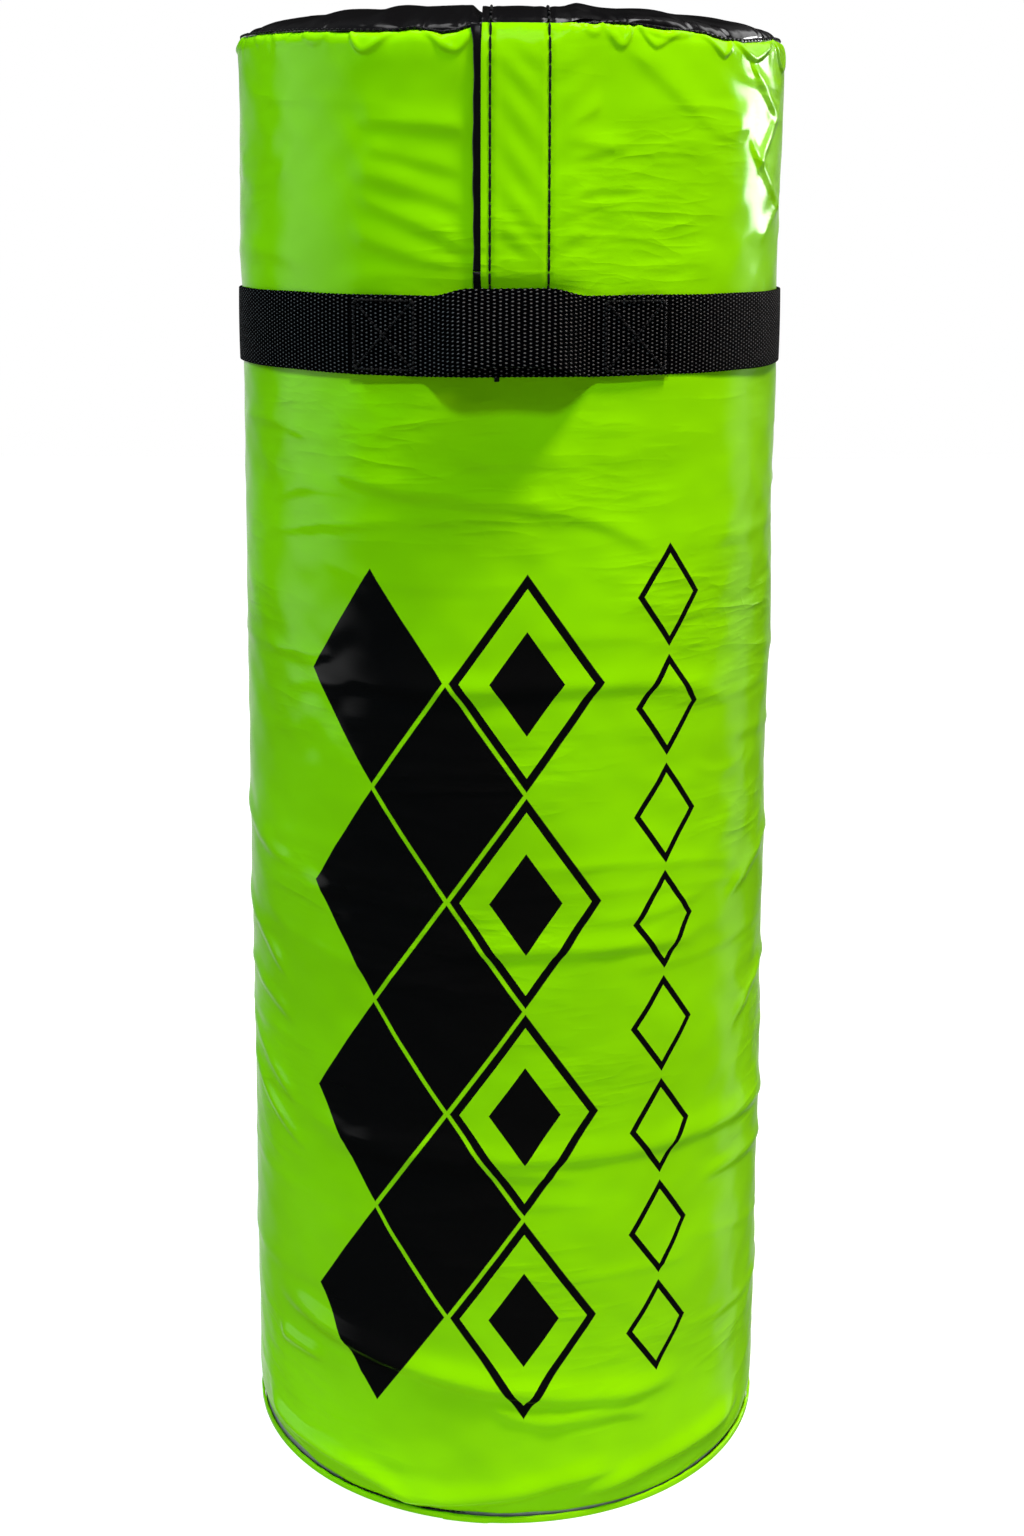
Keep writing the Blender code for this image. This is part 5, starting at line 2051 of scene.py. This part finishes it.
@dataclass
class Closure(SubAssembly):
    """The strip that closes the slit: skins, facings, tapes and stitches."""

    shape: StripShape
    left: float = -0.0174
    # The black facing reaches left past the edge over the shade beside it: partly the real black edge, partly
    # painted shadow.
    facing_and_shadow_left: float = -0.0222
    facing_right: float = -0.0172
    tail_low: float = 0.7845
    tail_top: float = 0.84754
    tail_rise: float = 0.0011
    sheet: float = 0.0008
    tape_arcs: tuple[float, float] = (-0.016, 0.019)
    tape_margin: float = 0.010
    tape_levels: dict[str, tuple[float, float]] = field(
        default_factory=lambda: {"hook": (-0.0038, -0.0026), "loop": (-0.0023, -0.0011)})
    tape_front: float = -0.040
    bend_end: float = 0.014
    bend_heights: tuple[float, float] = (0.92, 1.02)
    column_pitch: float = 0.0010
    row_pitch: float = 0.0014
    lid_row_pitch: float = 0.0022
    pattern_start: float = 2.0
    path_step: float = 0.0007

    @property
    def front_bend(self) -> Body:
        """The two bodies and two points given to the strip's front part, as Palette.dress takes them."""
        return ("bag", "closure_flap", *(Vector(self.bag.on_cover(arc, self.shape.rise, self.bend_heights[0]))
                                         for arc in (self.shape.hinge_arc, self.bend_end)))

    @property
    def lid_bend(self) -> Body:
        """The two bodies and two points given to the strip's part over the lid, as Palette.dress takes them.
        """
        return ("bag", "lid_flap", *(Vector((across, 0, self.bend_heights[1]))
                                     for across in (self.shape.hinge_arc, self.bend_end)))

    def _skin(self, name: str, rows: int, start: float, length: float, place: Place) -> bpy.types.Object:
        """A skin with its thickness.

        Args:
            name: The piece's name.
            rows: Rows of its mesh.
            start: Where its pattern starts.
            length: Its length.
            place: Gives points of arrays of arc and share of the length.

        Returns:
            The piece.
        """
        count = round((self.shape.right - self.left) / self.column_pitch)
        bm = Sheets.grid(np.linspace(self.left, self.shape.right, count + 1), np.linspace(0, 1, rows))
        skin = Sheets.lay(name, bm, place, lambda arc, share: stack(arc, start + share * length))
        Sheets.thicken(skin, self.sheet)
        return skin

    def skins(self) -> None:
        """The moving front, its fixed tail and the part over the lid."""
        shape, width = self.shape, self.shape.right - self.left
        length = shape.arch_start - shape.border - self.tail_top
        front = self._skin("closure_flap_skin", round(length / self.row_pitch), self.tail_top, length,
                           shape.on_front(self.tail_top, shape.border, self.bag.rim))
        self.palette.dress(front, Slot.LIME, self.front_bend, "flap_front", "flap_root")
        length = self.tail_top - self.tail_low
        tail = self._skin("closure_tail_skin", 34, self.tail_low, length, self._tail_place)
        self.palette.dress(tail, Slot.LIME, "bag", "flap_tail")
        length = shape.border - shape.end
        over = self._skin("lid_strip_skin", round(length / self.lid_row_pitch), self.pattern_start, length,
                          shape.on_lid)
        self.palette.dress(over, Slot.BLACK, self.lid_bend, "lid_flap_panel", "lid_flap_root")

    def _tail_level(self, height: Array) -> Array:
        """How far the tail's face is below the flap's, as it dips under the belt."""
        share = (height - self.bag.belt_top) / (self.tail_top - self.bag.belt_top)
        return (self.tail_rise - self.shape.rise) * (1 - smooth(share))

    def _tail_place(self, arc: Array, share: Array) -> Array:
        """Points of the tail's face, from its lower edge up.

        Args:
            arc: Arcs from the front line.
            share: Shares of the way up.

        Returns:
            The points.
        """
        shape, height = self.shape, self.tail_low + (self.tail_top - self.tail_low) * share
        run, fall = shape.arch_start - height, shape.fall(arc)
        level = self._tail_level(height) * np.clip(
            (fall - shape.edge_rise) / (shape.rise - shape.edge_rise), 0, 1)
        relief = shape.sewn(arc, run) + level
        off = shape.flat_at(arc, run, relief)
        on = self.face.at(arc, self.face.line.run_at_height(height), fall + relief)
        return off + (on - off) * shape.mix(arc)

    def facings(self) -> None:
        """The narrow black edges of the front and of the tail, drawn wider at their left than the edge, over
        the shade beside it: partly painted shadow.
        """
        shape = self.shape
        # The section's left part covers the shade beside the edge: painted shadow.
        section = rounded_bar((self.facing_and_shadow_left, -0.0024), (self.facing_right, 0.0003), 0.0009, 4)
        stations = np.linspace(shape.arch_start - self.bag.flap_low, shape.border, 120)

        def along(run: Array, arc: Array, level: Array) -> Array:
            """Points of the facing, thicker where it turns over the rim.

            Args:
                run: Runs of the strip.
                arc: Arcs from the front line.
                level: Distances off its outer face.

            Returns:
                The points.
            """
            wave = 0.0002 * np.sin(run / 0.0041) + 0.00025 * np.sin(run / 0.017)
            lump = bell(run, 0.009)
            arc = self.facing_right + (arc - self.facing_right) * (1 + 0.5 * lump)
            arc = arc + wave * (arc < self.facing_right - 0.001)
            return shape.flat_at(arc, run, level * (1 + 0.4 * lump) + 0.0010 * lump)

        front = Sheets.swept("closure_flap_facing_and_shadow", stations, section, along)
        self.palette.dress(front, Slot.BLACK, "closure_flap", "flap_edge_facing")
        heights = np.linspace(self.tail_low, self.tail_top, 30)

        def down(height: Array, arc: Array, level: Array) -> Array:
            """Points of the tail's facing."""
            return shape.flat_at(arc, shape.arch_start - height,
                                 level * 0.7 + self._tail_level(height) * 0.75)

        tail = Sheets.swept("closure_tail_facing_and_shadow", heights, section, down)
        self.palette.dress(tail, Slot.BLACK, "bag", "tail_edge_facing")

    def tapes(self) -> None:
        """The hook tapes on the bag and the loop tapes under the strip."""
        shape, bag = self.shape, self.bag
        low, high = bag.flap_low + self.tape_margin, bag.rim - self.tape_margin
        parts = {"front": np.linspace(shape.arch_start - low, shape.arch_start - high, 50),
                 "lid": np.linspace(self.tape_front, shape.end + self.tape_margin, 80)}
        for kind, slot, bodies in (("hook", Slot.HOOK, ("bag", "bag")),
                                   ("loop", Slot.LOOP, ("closure_flap", "lid_flap"))):
            section = rounded_bar(*zip(self.tape_arcs, self.tape_levels[kind]), 0.0004, 2, 12)
            for (part, runs), body in zip(parts.items(), bodies):
                tape = Sheets.swept(f"{kind}_tape_on_{part}", runs, section,
                                    lambda run, arc, level: shape.flat_at(arc, run, level))
                self.palette.dress(tape, slot, body, f"{kind}_tape_{part}")

    def stitches(self) -> None:
        """The two rows of stitches all along the strip, and the tack at its foot."""
        shape, bag, pitch = self.shape, self.bag, self.shape.stitch_pitch
        front = np.arange(shape.arch_start - bag.flap_low, shape.border, -self.path_step)
        over = np.arange(shape.border, shape.end + 0.004, -self.path_step)
        for name, arc in zip(("outer", "inner"), shape.stitch_arcs):
            for part, node, runs, body in (("closure", "flap", front, self.front_bend),
                                           ("lid_strip", "lid_flap", over, self.lid_bend)):
                points = shape.flat_at(arc, runs, -shape.groove)
                above = shape.flat_at(arc, runs, -shape.groove + 0.001)
                self.sew(f"{part}_stitches_{name}", f"{node}_stitch_{name}", [(points, above - points)],
                         pitch, body)
            heights = np.arange(bag.belt_top, self.tail_top, self.path_step)
            points = shape.flat_at(arc, shape.arch_start - heights, self._tail_level(heights) - shape.groove)
            outward = bag.outward(np.full_like(heights, arc))
            self.sew(f"tail_stitches_{name}", f"tail_stitch_{name}", [(points, outward)], pitch)
        arcs = np.linspace(-0.0095, -0.0061, 8)
        lines = [(bag.on_cover(arcs, 0.0006, bag.belt_low - 0.0021 + up), bag.outward(np.zeros_like(arcs)))
                 for up in (0.0, 0.0008, 0.0016)]
        self.sew("strip_end_tack", "flap_end_tack", lines, 0.0036, share=1.0, sunk=0.2)

    def build(self) -> None:
        """Makes all of the strip's pieces."""
        self.skins()
        self.facings()
        self.tapes()
        self.stitches()


@dataclass
class Webbing(SubAssembly):
    """The belt round the bag and the handle sewn onto it."""

    width: float = 0.050
    thickness: float = 0.0020
    station_pitch: float = 0.000825
    nub: float = 0.00022
    nub_pitch: float = 0.0033
    lap_degrees: float = 150.0
    lap: float = 0.060
    ramp: float = 0.010
    lap_rise: float = 0.0026
    strip_arcs: tuple[float, float] = (-0.0221, 0.0267)
    over_strip: float = 0.0011
    over_seam: float = 0.0014
    box_near: float = 0.0555
    box_length: float = 0.0475
    box_inset: float = 0.0035
    standoff: float = 0.022
    flat_half: float = 0.022
    grip_angle: float = math.radians(12.6)
    bend_inner: float = 0.032
    thread_pitch: float = 0.0030

    def _edge(self, station: Array, across: Array) -> Array:
        """Small bumps of the selvedge, and its slow waver.

        Args:
            station: Distances along the webbing.
            across: Distances from its middle line.

        Returns:
            The shifts.
        """
        side = np.clip(across / (self.width / 2), -1, 1)
        bump = self.nub * np.cos(math.tau * station / self.nub_pitch) * side * np.abs(side) ** 20
        return bump + 0.00025 * np.sin(station / 0.041) + 0.00015 * np.sin(station / 0.013 + 1)

    def belt_rise(self, arc: Array) -> Array:
        """How far the belt's inner face stands off the cover.

        Args:
            arc: Arcs from the front line.

        Returns:
            The distances.
        """
        bag = self.bag
        around = (arc + bag.half_turn) % (2 * bag.half_turn) - bag.half_turn
        left, right = self.strip_arcs
        away = np.maximum(np.maximum(left - around, around - right), 0)
        tail = self.over_strip * (1 - smooth(away / self.ramp))
        back = np.maximum(bag.half_turn - np.abs(around) - 0.010, 0)
        return 0.0003 + tail + self.over_seam * (1 - smooth(back / self.ramp))

    def belt(self) -> None:
        """The belt, whose end laps over its start behind the right side."""
        bag = self.bag
        lap_start = math.radians(self.lap_degrees) * bag.radius
        start = lap_start - 2 * bag.half_turn
        end = lap_start + self.lap
        stations = np.linspace(start, end, round((end - start) / self.station_pitch))

        def laid(arc: Array, across: Array, up: Array) -> Array:
            """Points of the belt, whose end lies over its start.

            Args:
                arc: Arcs from the front line.
                across: Distances up from its middle line.
                up: Distances off its inner face.

            Returns:
                The points.
            """
            climb = smooth((arc - lap_start + self.ramp) / self.ramp)
            rise = self.belt_rise(arc) + self.lap_rise * climb + up
            crown = 0.0003 * (across / (self.width / 2)) ** 2
            return bag.on_cover(arc, rise - crown, bag.belt_middle + across + self._edge(arc, across))

        belt = Sheets.swept("webbing_belt", stations, self._section(), laid)
        self.palette.dress(belt, Slot.WEBBING, "bag", "belt")
        face = self.lap_rise + 0.0003 + self.thickness
        self._boxed("belt_lap_stitches", (lap_start, end), "belt_joint_stitch",
                    lambda arc, up: bag.on_cover(arc, self.belt_rise(arc) - 0.0003 + face, up))

    def _section(self) -> list[tuple[float, float]]:
        """The webbing's section, with round edges."""
        half = self.width / 2
        return rounded_bar((-half, 0.0), (half, self.thickness), self.thickness * 0.48, 4, 9)

    def handle_point(self, arc: Array, height: Array, up: Array) -> Array:
        """A point of the handle's webbing: flat on the belt at its ends, standing off between them.

        Args:
            arc: Arcs from the front line.
            height: Heights above the floor before the loop's tilt.
            up: Distances off its inner face.

        Returns:
            The points.
        """
        bag = self.bag
        away = smooth((self.box_near - np.abs(arc)) / (self.box_near - self.flat_half))
        low = self.thickness + 0.0006
        point = bag.on_cover(arc, low + (self.standoff - low) * away + up, height)
        across, out = point[..., 1] - bag.grip_axis.y, point[..., 2] - bag.belt_middle
        turn = -self.grip_angle * away
        point[..., 1] = bag.grip_axis.y + across * np.cos(turn) - out * np.sin(turn)
        point[..., 2] = bag.belt_middle + across * np.sin(turn) + out * np.cos(turn)
        return point

    def handle(self) -> None:
        """The handle in two halves that meet in the middle of its grip, with its sewn ends."""
        bag = self.bag
        far = self.box_near + self.box_length

        def laid(arc: Array, across: Array, up: Array) -> Array:
            """Points of the handle, which is drawn in and bowed in its middle.

            Args:
                arc: Arcs from the front line.
                across: Distances up from its middle line.
                up: Distances off its inner face.

            Returns:
                The points.
            """
            curl = 1 - 0.035 * bell(arc, 0.03)
            edge = self._edge(arc + 0.001, across)
            bow = 0.0012 * bell(arc, 0.035) * (across / (self.width / 2)) ** 2
            return self.handle_point(arc, bag.belt_middle + across * curl + edge, up - bow)

        for name, side in (("left", -1), ("right", 1)):
            stations = np.linspace(*sorted((0.0, side * far)), round(far / self.station_pitch))
            half = Sheets.swept(f"handle_{name}", stations, self._section(), laid)
            start, stop = (Vector((side * across, bag.grip_axis.y, bag.belt_middle))
                           for across in (self.box_near, self.bend_inner))
            self.palette.dress(half, Slot.WEBBING, ("bag", "handle", start, stop),
                               f"handle_anchor_{name}", "handle_grip")
            arcs = sorted((side * self.box_near, side * far))
            self._boxed(f"handle_stitches_{name}", arcs, f"handle_box_stitch_{name}",
                        lambda arc, up: self.handle_point(arc, up, np.full_like(arc, self.thickness)))

    def _boxed(self, name: str, arcs: Sequence[float], node: str, place: Place) -> None:
        """A box with crossed diagonals, sewn through the webbing.

        Args:
            name: The piece's name.
            arcs: The sewn length's two ends.
            node: The node that it replaces.
            place: Gives points of arrays of arc and height.
        """
        left, right = arcs[0] + self.box_inset, arcs[1] - self.box_inset
        low, high = self.bag.belt_low + self.box_inset, self.bag.belt_top - self.box_inset
        corners = [(left, low), (right, low), (right, high), (left, high)]
        lines = []
        for first, last in ((0, 1), (1, 2), (2, 3), (3, 0), (0, 2), (3, 1)):
            arc, height = np.linspace(corners[first], corners[last], 60).T
            lines.append((place(arc, height), self.bag.outward(arc)))
        self.sew(name, node, lines, self.thread_pitch, share=0.8, sunk=0.3)

    def build(self) -> None:
        """Makes the belt and the handle."""
        self.belt()
        self.handle()


@dataclass
class Filling(SubAssembly):
    """The foam inside the cover."""

    core_radius: float = 0.120
    radius: float = 0.1862
    low: float = 0.0266
    high: float = 0.9677
    corner: float = 0.004
    base: tuple[float, float, float] = (0.1848, 0.0014, 0.0262)
    pad_under_lid: float = 0.0075
    pad_foot: tuple[tuple[float, float], ...] = (
        (0.0, 0.968), (0.10, 0.968), (0.180, 0.968), (0.1835, 0.9705), (0.1835, 0.985))
    roll_inner: float = 0.1205
    roll_sheet: float = 0.0108
    roll_slack: float = 0.0002

    def _disc(self, name: str, radius: float, low: float, high: float) -> bpy.types.Object:
        """A round block of foam with soft edges.

        Args:
            name: The piece's name.
            radius: Its radius.
            low: Height of its foot.
            high: Height of its top.

        Returns:
            The piece.
        """
        corner, turn = self.corner, np.linspace(0, math.pi / 2, 5)
        rounded = radius - corner + corner * np.sin(turn)
        lower = zip(rounded, low + corner * (1 - np.cos(turn)))
        upper = zip(rounded[::-1], high - corner * (1 - np.sin(turn)))
        wall = [(radius, height) for height in np.linspace(low + corner, high - corner, 6)[1:-1]]
        profile = [(0.0, low), (radius / 2, low), *lower, *wall, *upper, (radius / 2, high), (0.0, high)]
        return Sheets.turned(name, profile, 120, self.bag, 0.0003)

    def blocks(self) -> None:
        """The core and the two pads."""
        core = self._disc("foam_core_block", self.core_radius, self.low, self.high)
        self.palette.dress(core, Slot.FIRM_FOAM, "bag", "foam_core")
        base = self._disc("foam_base_pad", *self.base)
        self.palette.dress(base, Slot.FIRM_FOAM, "bag", "base_pad")
        line = self.face.line
        radius, height = line.at(np.linspace(-0.004, -line.lid_length, 40))
        profile = [*self.pad_foot, *zip(radius, height - self.pad_under_lid)]
        pad = Sheets.turned("foam_top_pad", profile, 120, self.bag)
        self.palette.dress(pad, Slot.SOFT_FOAM, "bag", "top_pad")

    def roll(self) -> None:
        """The softer sheet, rolled round the core."""
        turns = (self.radius - self.roll_inner) / self.roll_sheet - 1
        stations = np.linspace(0, turns, round(turns * 60))
        section = rounded_bar((self.roll_slack, self.low), (self.roll_sheet - self.roll_slack, self.high),
                              0.003, 3, 3)

        def wound(turn: Array, out: Array, up: Array) -> Array:
            """Points of the roll after this many turns."""
            return polar(self.roll_inner + self.roll_sheet * turn + out, turn * math.tau + 1.0, up)

        roll = Sheets.swept("foam_wrap_roll", stations, section, wound)
        self.palette.dress(roll, Slot.SOFT_FOAM, "bag", "foam_wrap")

    def build(self) -> None:
        """Makes the foam pieces."""
        self.blocks()
        self.roll()


def rounded_bar(low: tuple[float, float], high: tuple[float, float], corner: float, steps: int,
                columns: int = 2) -> list[tuple[float, float]]:
    """The outline of a bar with round corners.

    Args:
        low: Its lowest corner.
        high: Its highest corner.
        corner: The corners' radius.
        steps: Steps round each corner.
        columns: Points along each long side.

    Returns:
        The outline's points in order.
    """
    corners = ((low[0], low[1], 1, 1, math.pi), (high[0], low[1], -1, 1, 1.5 * math.pi),
               (high[0], high[1], -1, -1, 0.0), (low[0], high[1], 1, -1, 0.5 * math.pi))
    points = []
    for index, (across, up, in_x, in_y, start) in enumerate(corners):
        centre = (across + in_x * corner, up + in_y * corner)
        for step in range(steps + 1):
            angle = start + step / steps * math.pi / 2
            points.append((centre[0] + corner * math.cos(angle), centre[1] + corner * math.sin(angle)))
        if index in (0, 2):
            last = corners[(index + 1) % 4]
            stop = last[0] + last[2] * corner
            shares = np.linspace(0, 1, columns)[1:-1]
            points += [(centre[0] + (stop - centre[0]) * share, up) for share in shares]
    return points


class Studio:
    """The pale floor, the soft lamps and the camera."""

    dark = 0.006
    fill = 0.16
    lens = 47.197
    shift = (0.00137, -0.1354)
    eye = (0, -1.4341, 0.8803)
    degrees_down = 9.647
    degrees_round = 0.20
    # Soft patches that gloss mirrors: degrees round, upward part and strength, as _glow takes them
    glows = (((142, 175, 300, 400), (-2, -1, 0.03, 0.10), 0.75),
             ((-400, -300, -168, -124), (-2, -1, 0.03, 0.10), 0.9),
             ((-118, -103, -97, -58), (-0.25, -0.16, 0.12, 0.30), 1.25),
             ((110, 116, 130, 140), (-0.015, 0.03, 0.11, 0.16), 17.0),
             ((104, 117, 120, 132), (-0.6, -0.5, 0.11, 0.16), 0.6),
             ((-20, -8, 22, 34), (0.50, 0.57, 0.64, 0.72), 1.2),
             ((20, 35, 150, 165), (0.88, 0.92, 0.96, 0.985), 3.5),
             ((-165, -150, -18, -10), (0.88, 0.92, 0.96, 0.985), 1.5),
             ((96, 112, 135, 150), (0.12, 0.20, 0.65, 0.85), 1.4),
             ((-180, -140, -60, -40), (0.25, 0.40, 0.75, 0.90), 0.04),
             ((60, 90, 150, 180), (0.25, 0.40, 0.7, 0.85), 0.08))

    @staticmethod
    def _lamp(name: str, degrees: float, distance: float, height: float, size: tuple[float, float],
              power: float, aim: float, colour: Colour) -> None:
        """One rectangular lamp that faces the bag, and that its gloss doesn't mirror.

        Args:
            name: Its name.
            degrees: Its side, from the front towards the right.
            distance: From the bag's axis.
            height: Above the floor.
            size: Width and height.
            power: In watts.
            aim: Height that it points at.
            colour: Of its light.
        """
        data = bpy.data.lights.new(name, "AREA")
        data.shape = "RECTANGLE"
        data.size, data.size_y = size
        data.energy = power
        data.color = colour
        lamp = in_scene(name, data)
        lamp.visible_glossy = False
        lamp.location = polar(distance, math.radians(degrees), height)
        direction = Vector((0, 0, aim)) - lamp.location
        lamp.rotation_euler = direction.to_track_quat("-Z", "Y").to_euler()

    def lamps(self) -> None:
        """A high key lamp from the right, a small bright one in front and a soft one on the left."""
        self._lamp("key", 53, 2.1, 5.3, (0.8, 0.8), 380, 0.6, (1, 0.76, 0.58))
        self._lamp("front", 2, 2.2, 3.0, (0.40, 0.28), 49, 0.40, (0.78, 1, 1))
        self._lamp("left", -88, 2.2, 3.0, (0.8, 0.8), 54, 0.42, (0.78, 1, 1))

    @staticmethod
    def _glow(graph: Graph, turn: bpy.types.NodeSocket, degrees: tuple[float, ...],
              height: bpy.types.NodeSocket, rise: tuple[float, ...], strength: float) -> bpy.types.NodeSocket:
        """A soft-edged patch of light that only gloss shows.

        Args:
            graph: The world's graph.
            turn: The direction's angle round the bag.
            degrees: Where round the bag it starts, is full, starts to fade and ends.
            height: The direction's upward part.
            rise: The same four for that.
            strength: Its brightness.

        Returns:
            Its brightness in each direction.
        """
        total = 1.0
        for value, (start, full, fading, end) in ((turn, degrees), (height, rise)):
            total = graph.math("MULTIPLY", graph.ramp(value, start, full), total)
            total = graph.math("MULTIPLY", graph.ramp(value, end, fading), total)
        return graph.math("MULTIPLY", total, strength)

    def world(self) -> None:
        """White to the camera, soft and dim to the bag."""
        world = bpy.data.worlds.new("studio")
        bpy.context.scene.world = world
        world.use_nodes = True
        graph = Graph(world.node_tree)
        path = graph.node("ShaderNodeLightPath").outputs
        parts = graph.parts(graph.node("ShaderNodeTexCoord").outputs["Generated"])
        front = graph.math("MULTIPLY", parts["Y"], -1.0)
        turn = graph.math("DEGREES", graph.math("ARCTAN2", parts["X"], front))
        shown = self.dark
        for degrees, rise, strength in self.glows:
            shown = graph.math("ADD", self._glow(graph, turn, degrees, parts["Z"], rise, strength), shown)
        mirrored = graph.math("MAXIMUM", path["Is Glossy Ray"], path["Is Transmission Ray"])
        fill = graph.math("MULTIPLY", graph.math("SUBTRACT", 1.0, mirrored), self.fill)
        total = graph.math("ADD", graph.math("MULTIPLY", mirrored, shown), fill)
        graph.feed(world.node_tree.nodes["Background"], {
            "Strength": graph.math("MAXIMUM", total, path["Is Camera Ray"]),
            "Color": graph.tint(path["Is Diffuse Ray"], (1, 1, 1), (0.68, 1, 1))})

    def floor(self) -> None:
        """A pale floor that shows white and keeps a soft shadow, and that glows near the bag: a painted pool
        of light that brightens the bag's foot.
        """
        bm = bmesh.new()
        bmesh.ops.create_grid(bm, x_segments=8, y_segments=8, size=6)
        floor = in_scene("floor", as_mesh("floor", bm))
        material, graph, shader = new_material("pale_floor")
        seen = graph.math("MULTIPLY", graph.node("ShaderNodeLightPath").outputs["Is Camera Ray"], 0.9)
        away = graph.node("ShaderNodeVectorMath", {0: graph.place()}, operation="LENGTH").outputs["Value"]
        graph.feed(shader, {
            "Base Color": (0.36, 0.40, 0.40, 1), "Roughness": 0.9, "Specular IOR Level": 0.1,
            "Emission Color": (1, 1, 1, 1),
            # Near the bag the floor glows to everything but the camera: a painted pool of light on the bag's
            # foot.
            "Emission Strength": graph.math("MAXIMUM", seen, graph.ramp(away, 0.70, 0.35, to=(0, 0.62)))})
        floor.data.materials.append(material)
        floor.visible_glossy = False

    def camera(self) -> None:
        """The camera where the reference view was taken."""
        data = bpy.data.cameras.new("camera")
        data.lens = self.lens
        data.sensor_width = 36
        data.shift_x, data.shift_y = self.shift
        camera = in_scene("camera", data)
        camera.location = self.eye
        camera.rotation_euler = (math.radians(90 - self.degrees_down), -math.radians(self.degrees_round), 0)
        bpy.context.scene.camera = camera

    def build(self) -> None:
        """Sets up the whole studio."""
        bpy.context.scene.view_settings.view_transform = "Standard"
        self.lamps()
        self.world()
        self.floor()
        self.camera()


def main() -> None:
    """Dresses the bag, piece by piece."""
    logging.basicConfig(level=logging.INFO, format="%(name)s: %(message)s")
    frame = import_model()
    bag = Bag.from_frame(frame["joints"])
    line = Outline(bag)
    rim = RimGather(bag, line)
    rim.gather()
    face = Face(bag, line, rim, CoverRelief(bag))
    shared = (face, Palette(), Stitcher())
    for group in (Cover(*shared), Lid(*shared), Closure(*shared, StripShape(face)), Webbing(*shared),
                  Filling(*shared), Studio()):
        group.build()


if __name__ == "__main__":
    main()
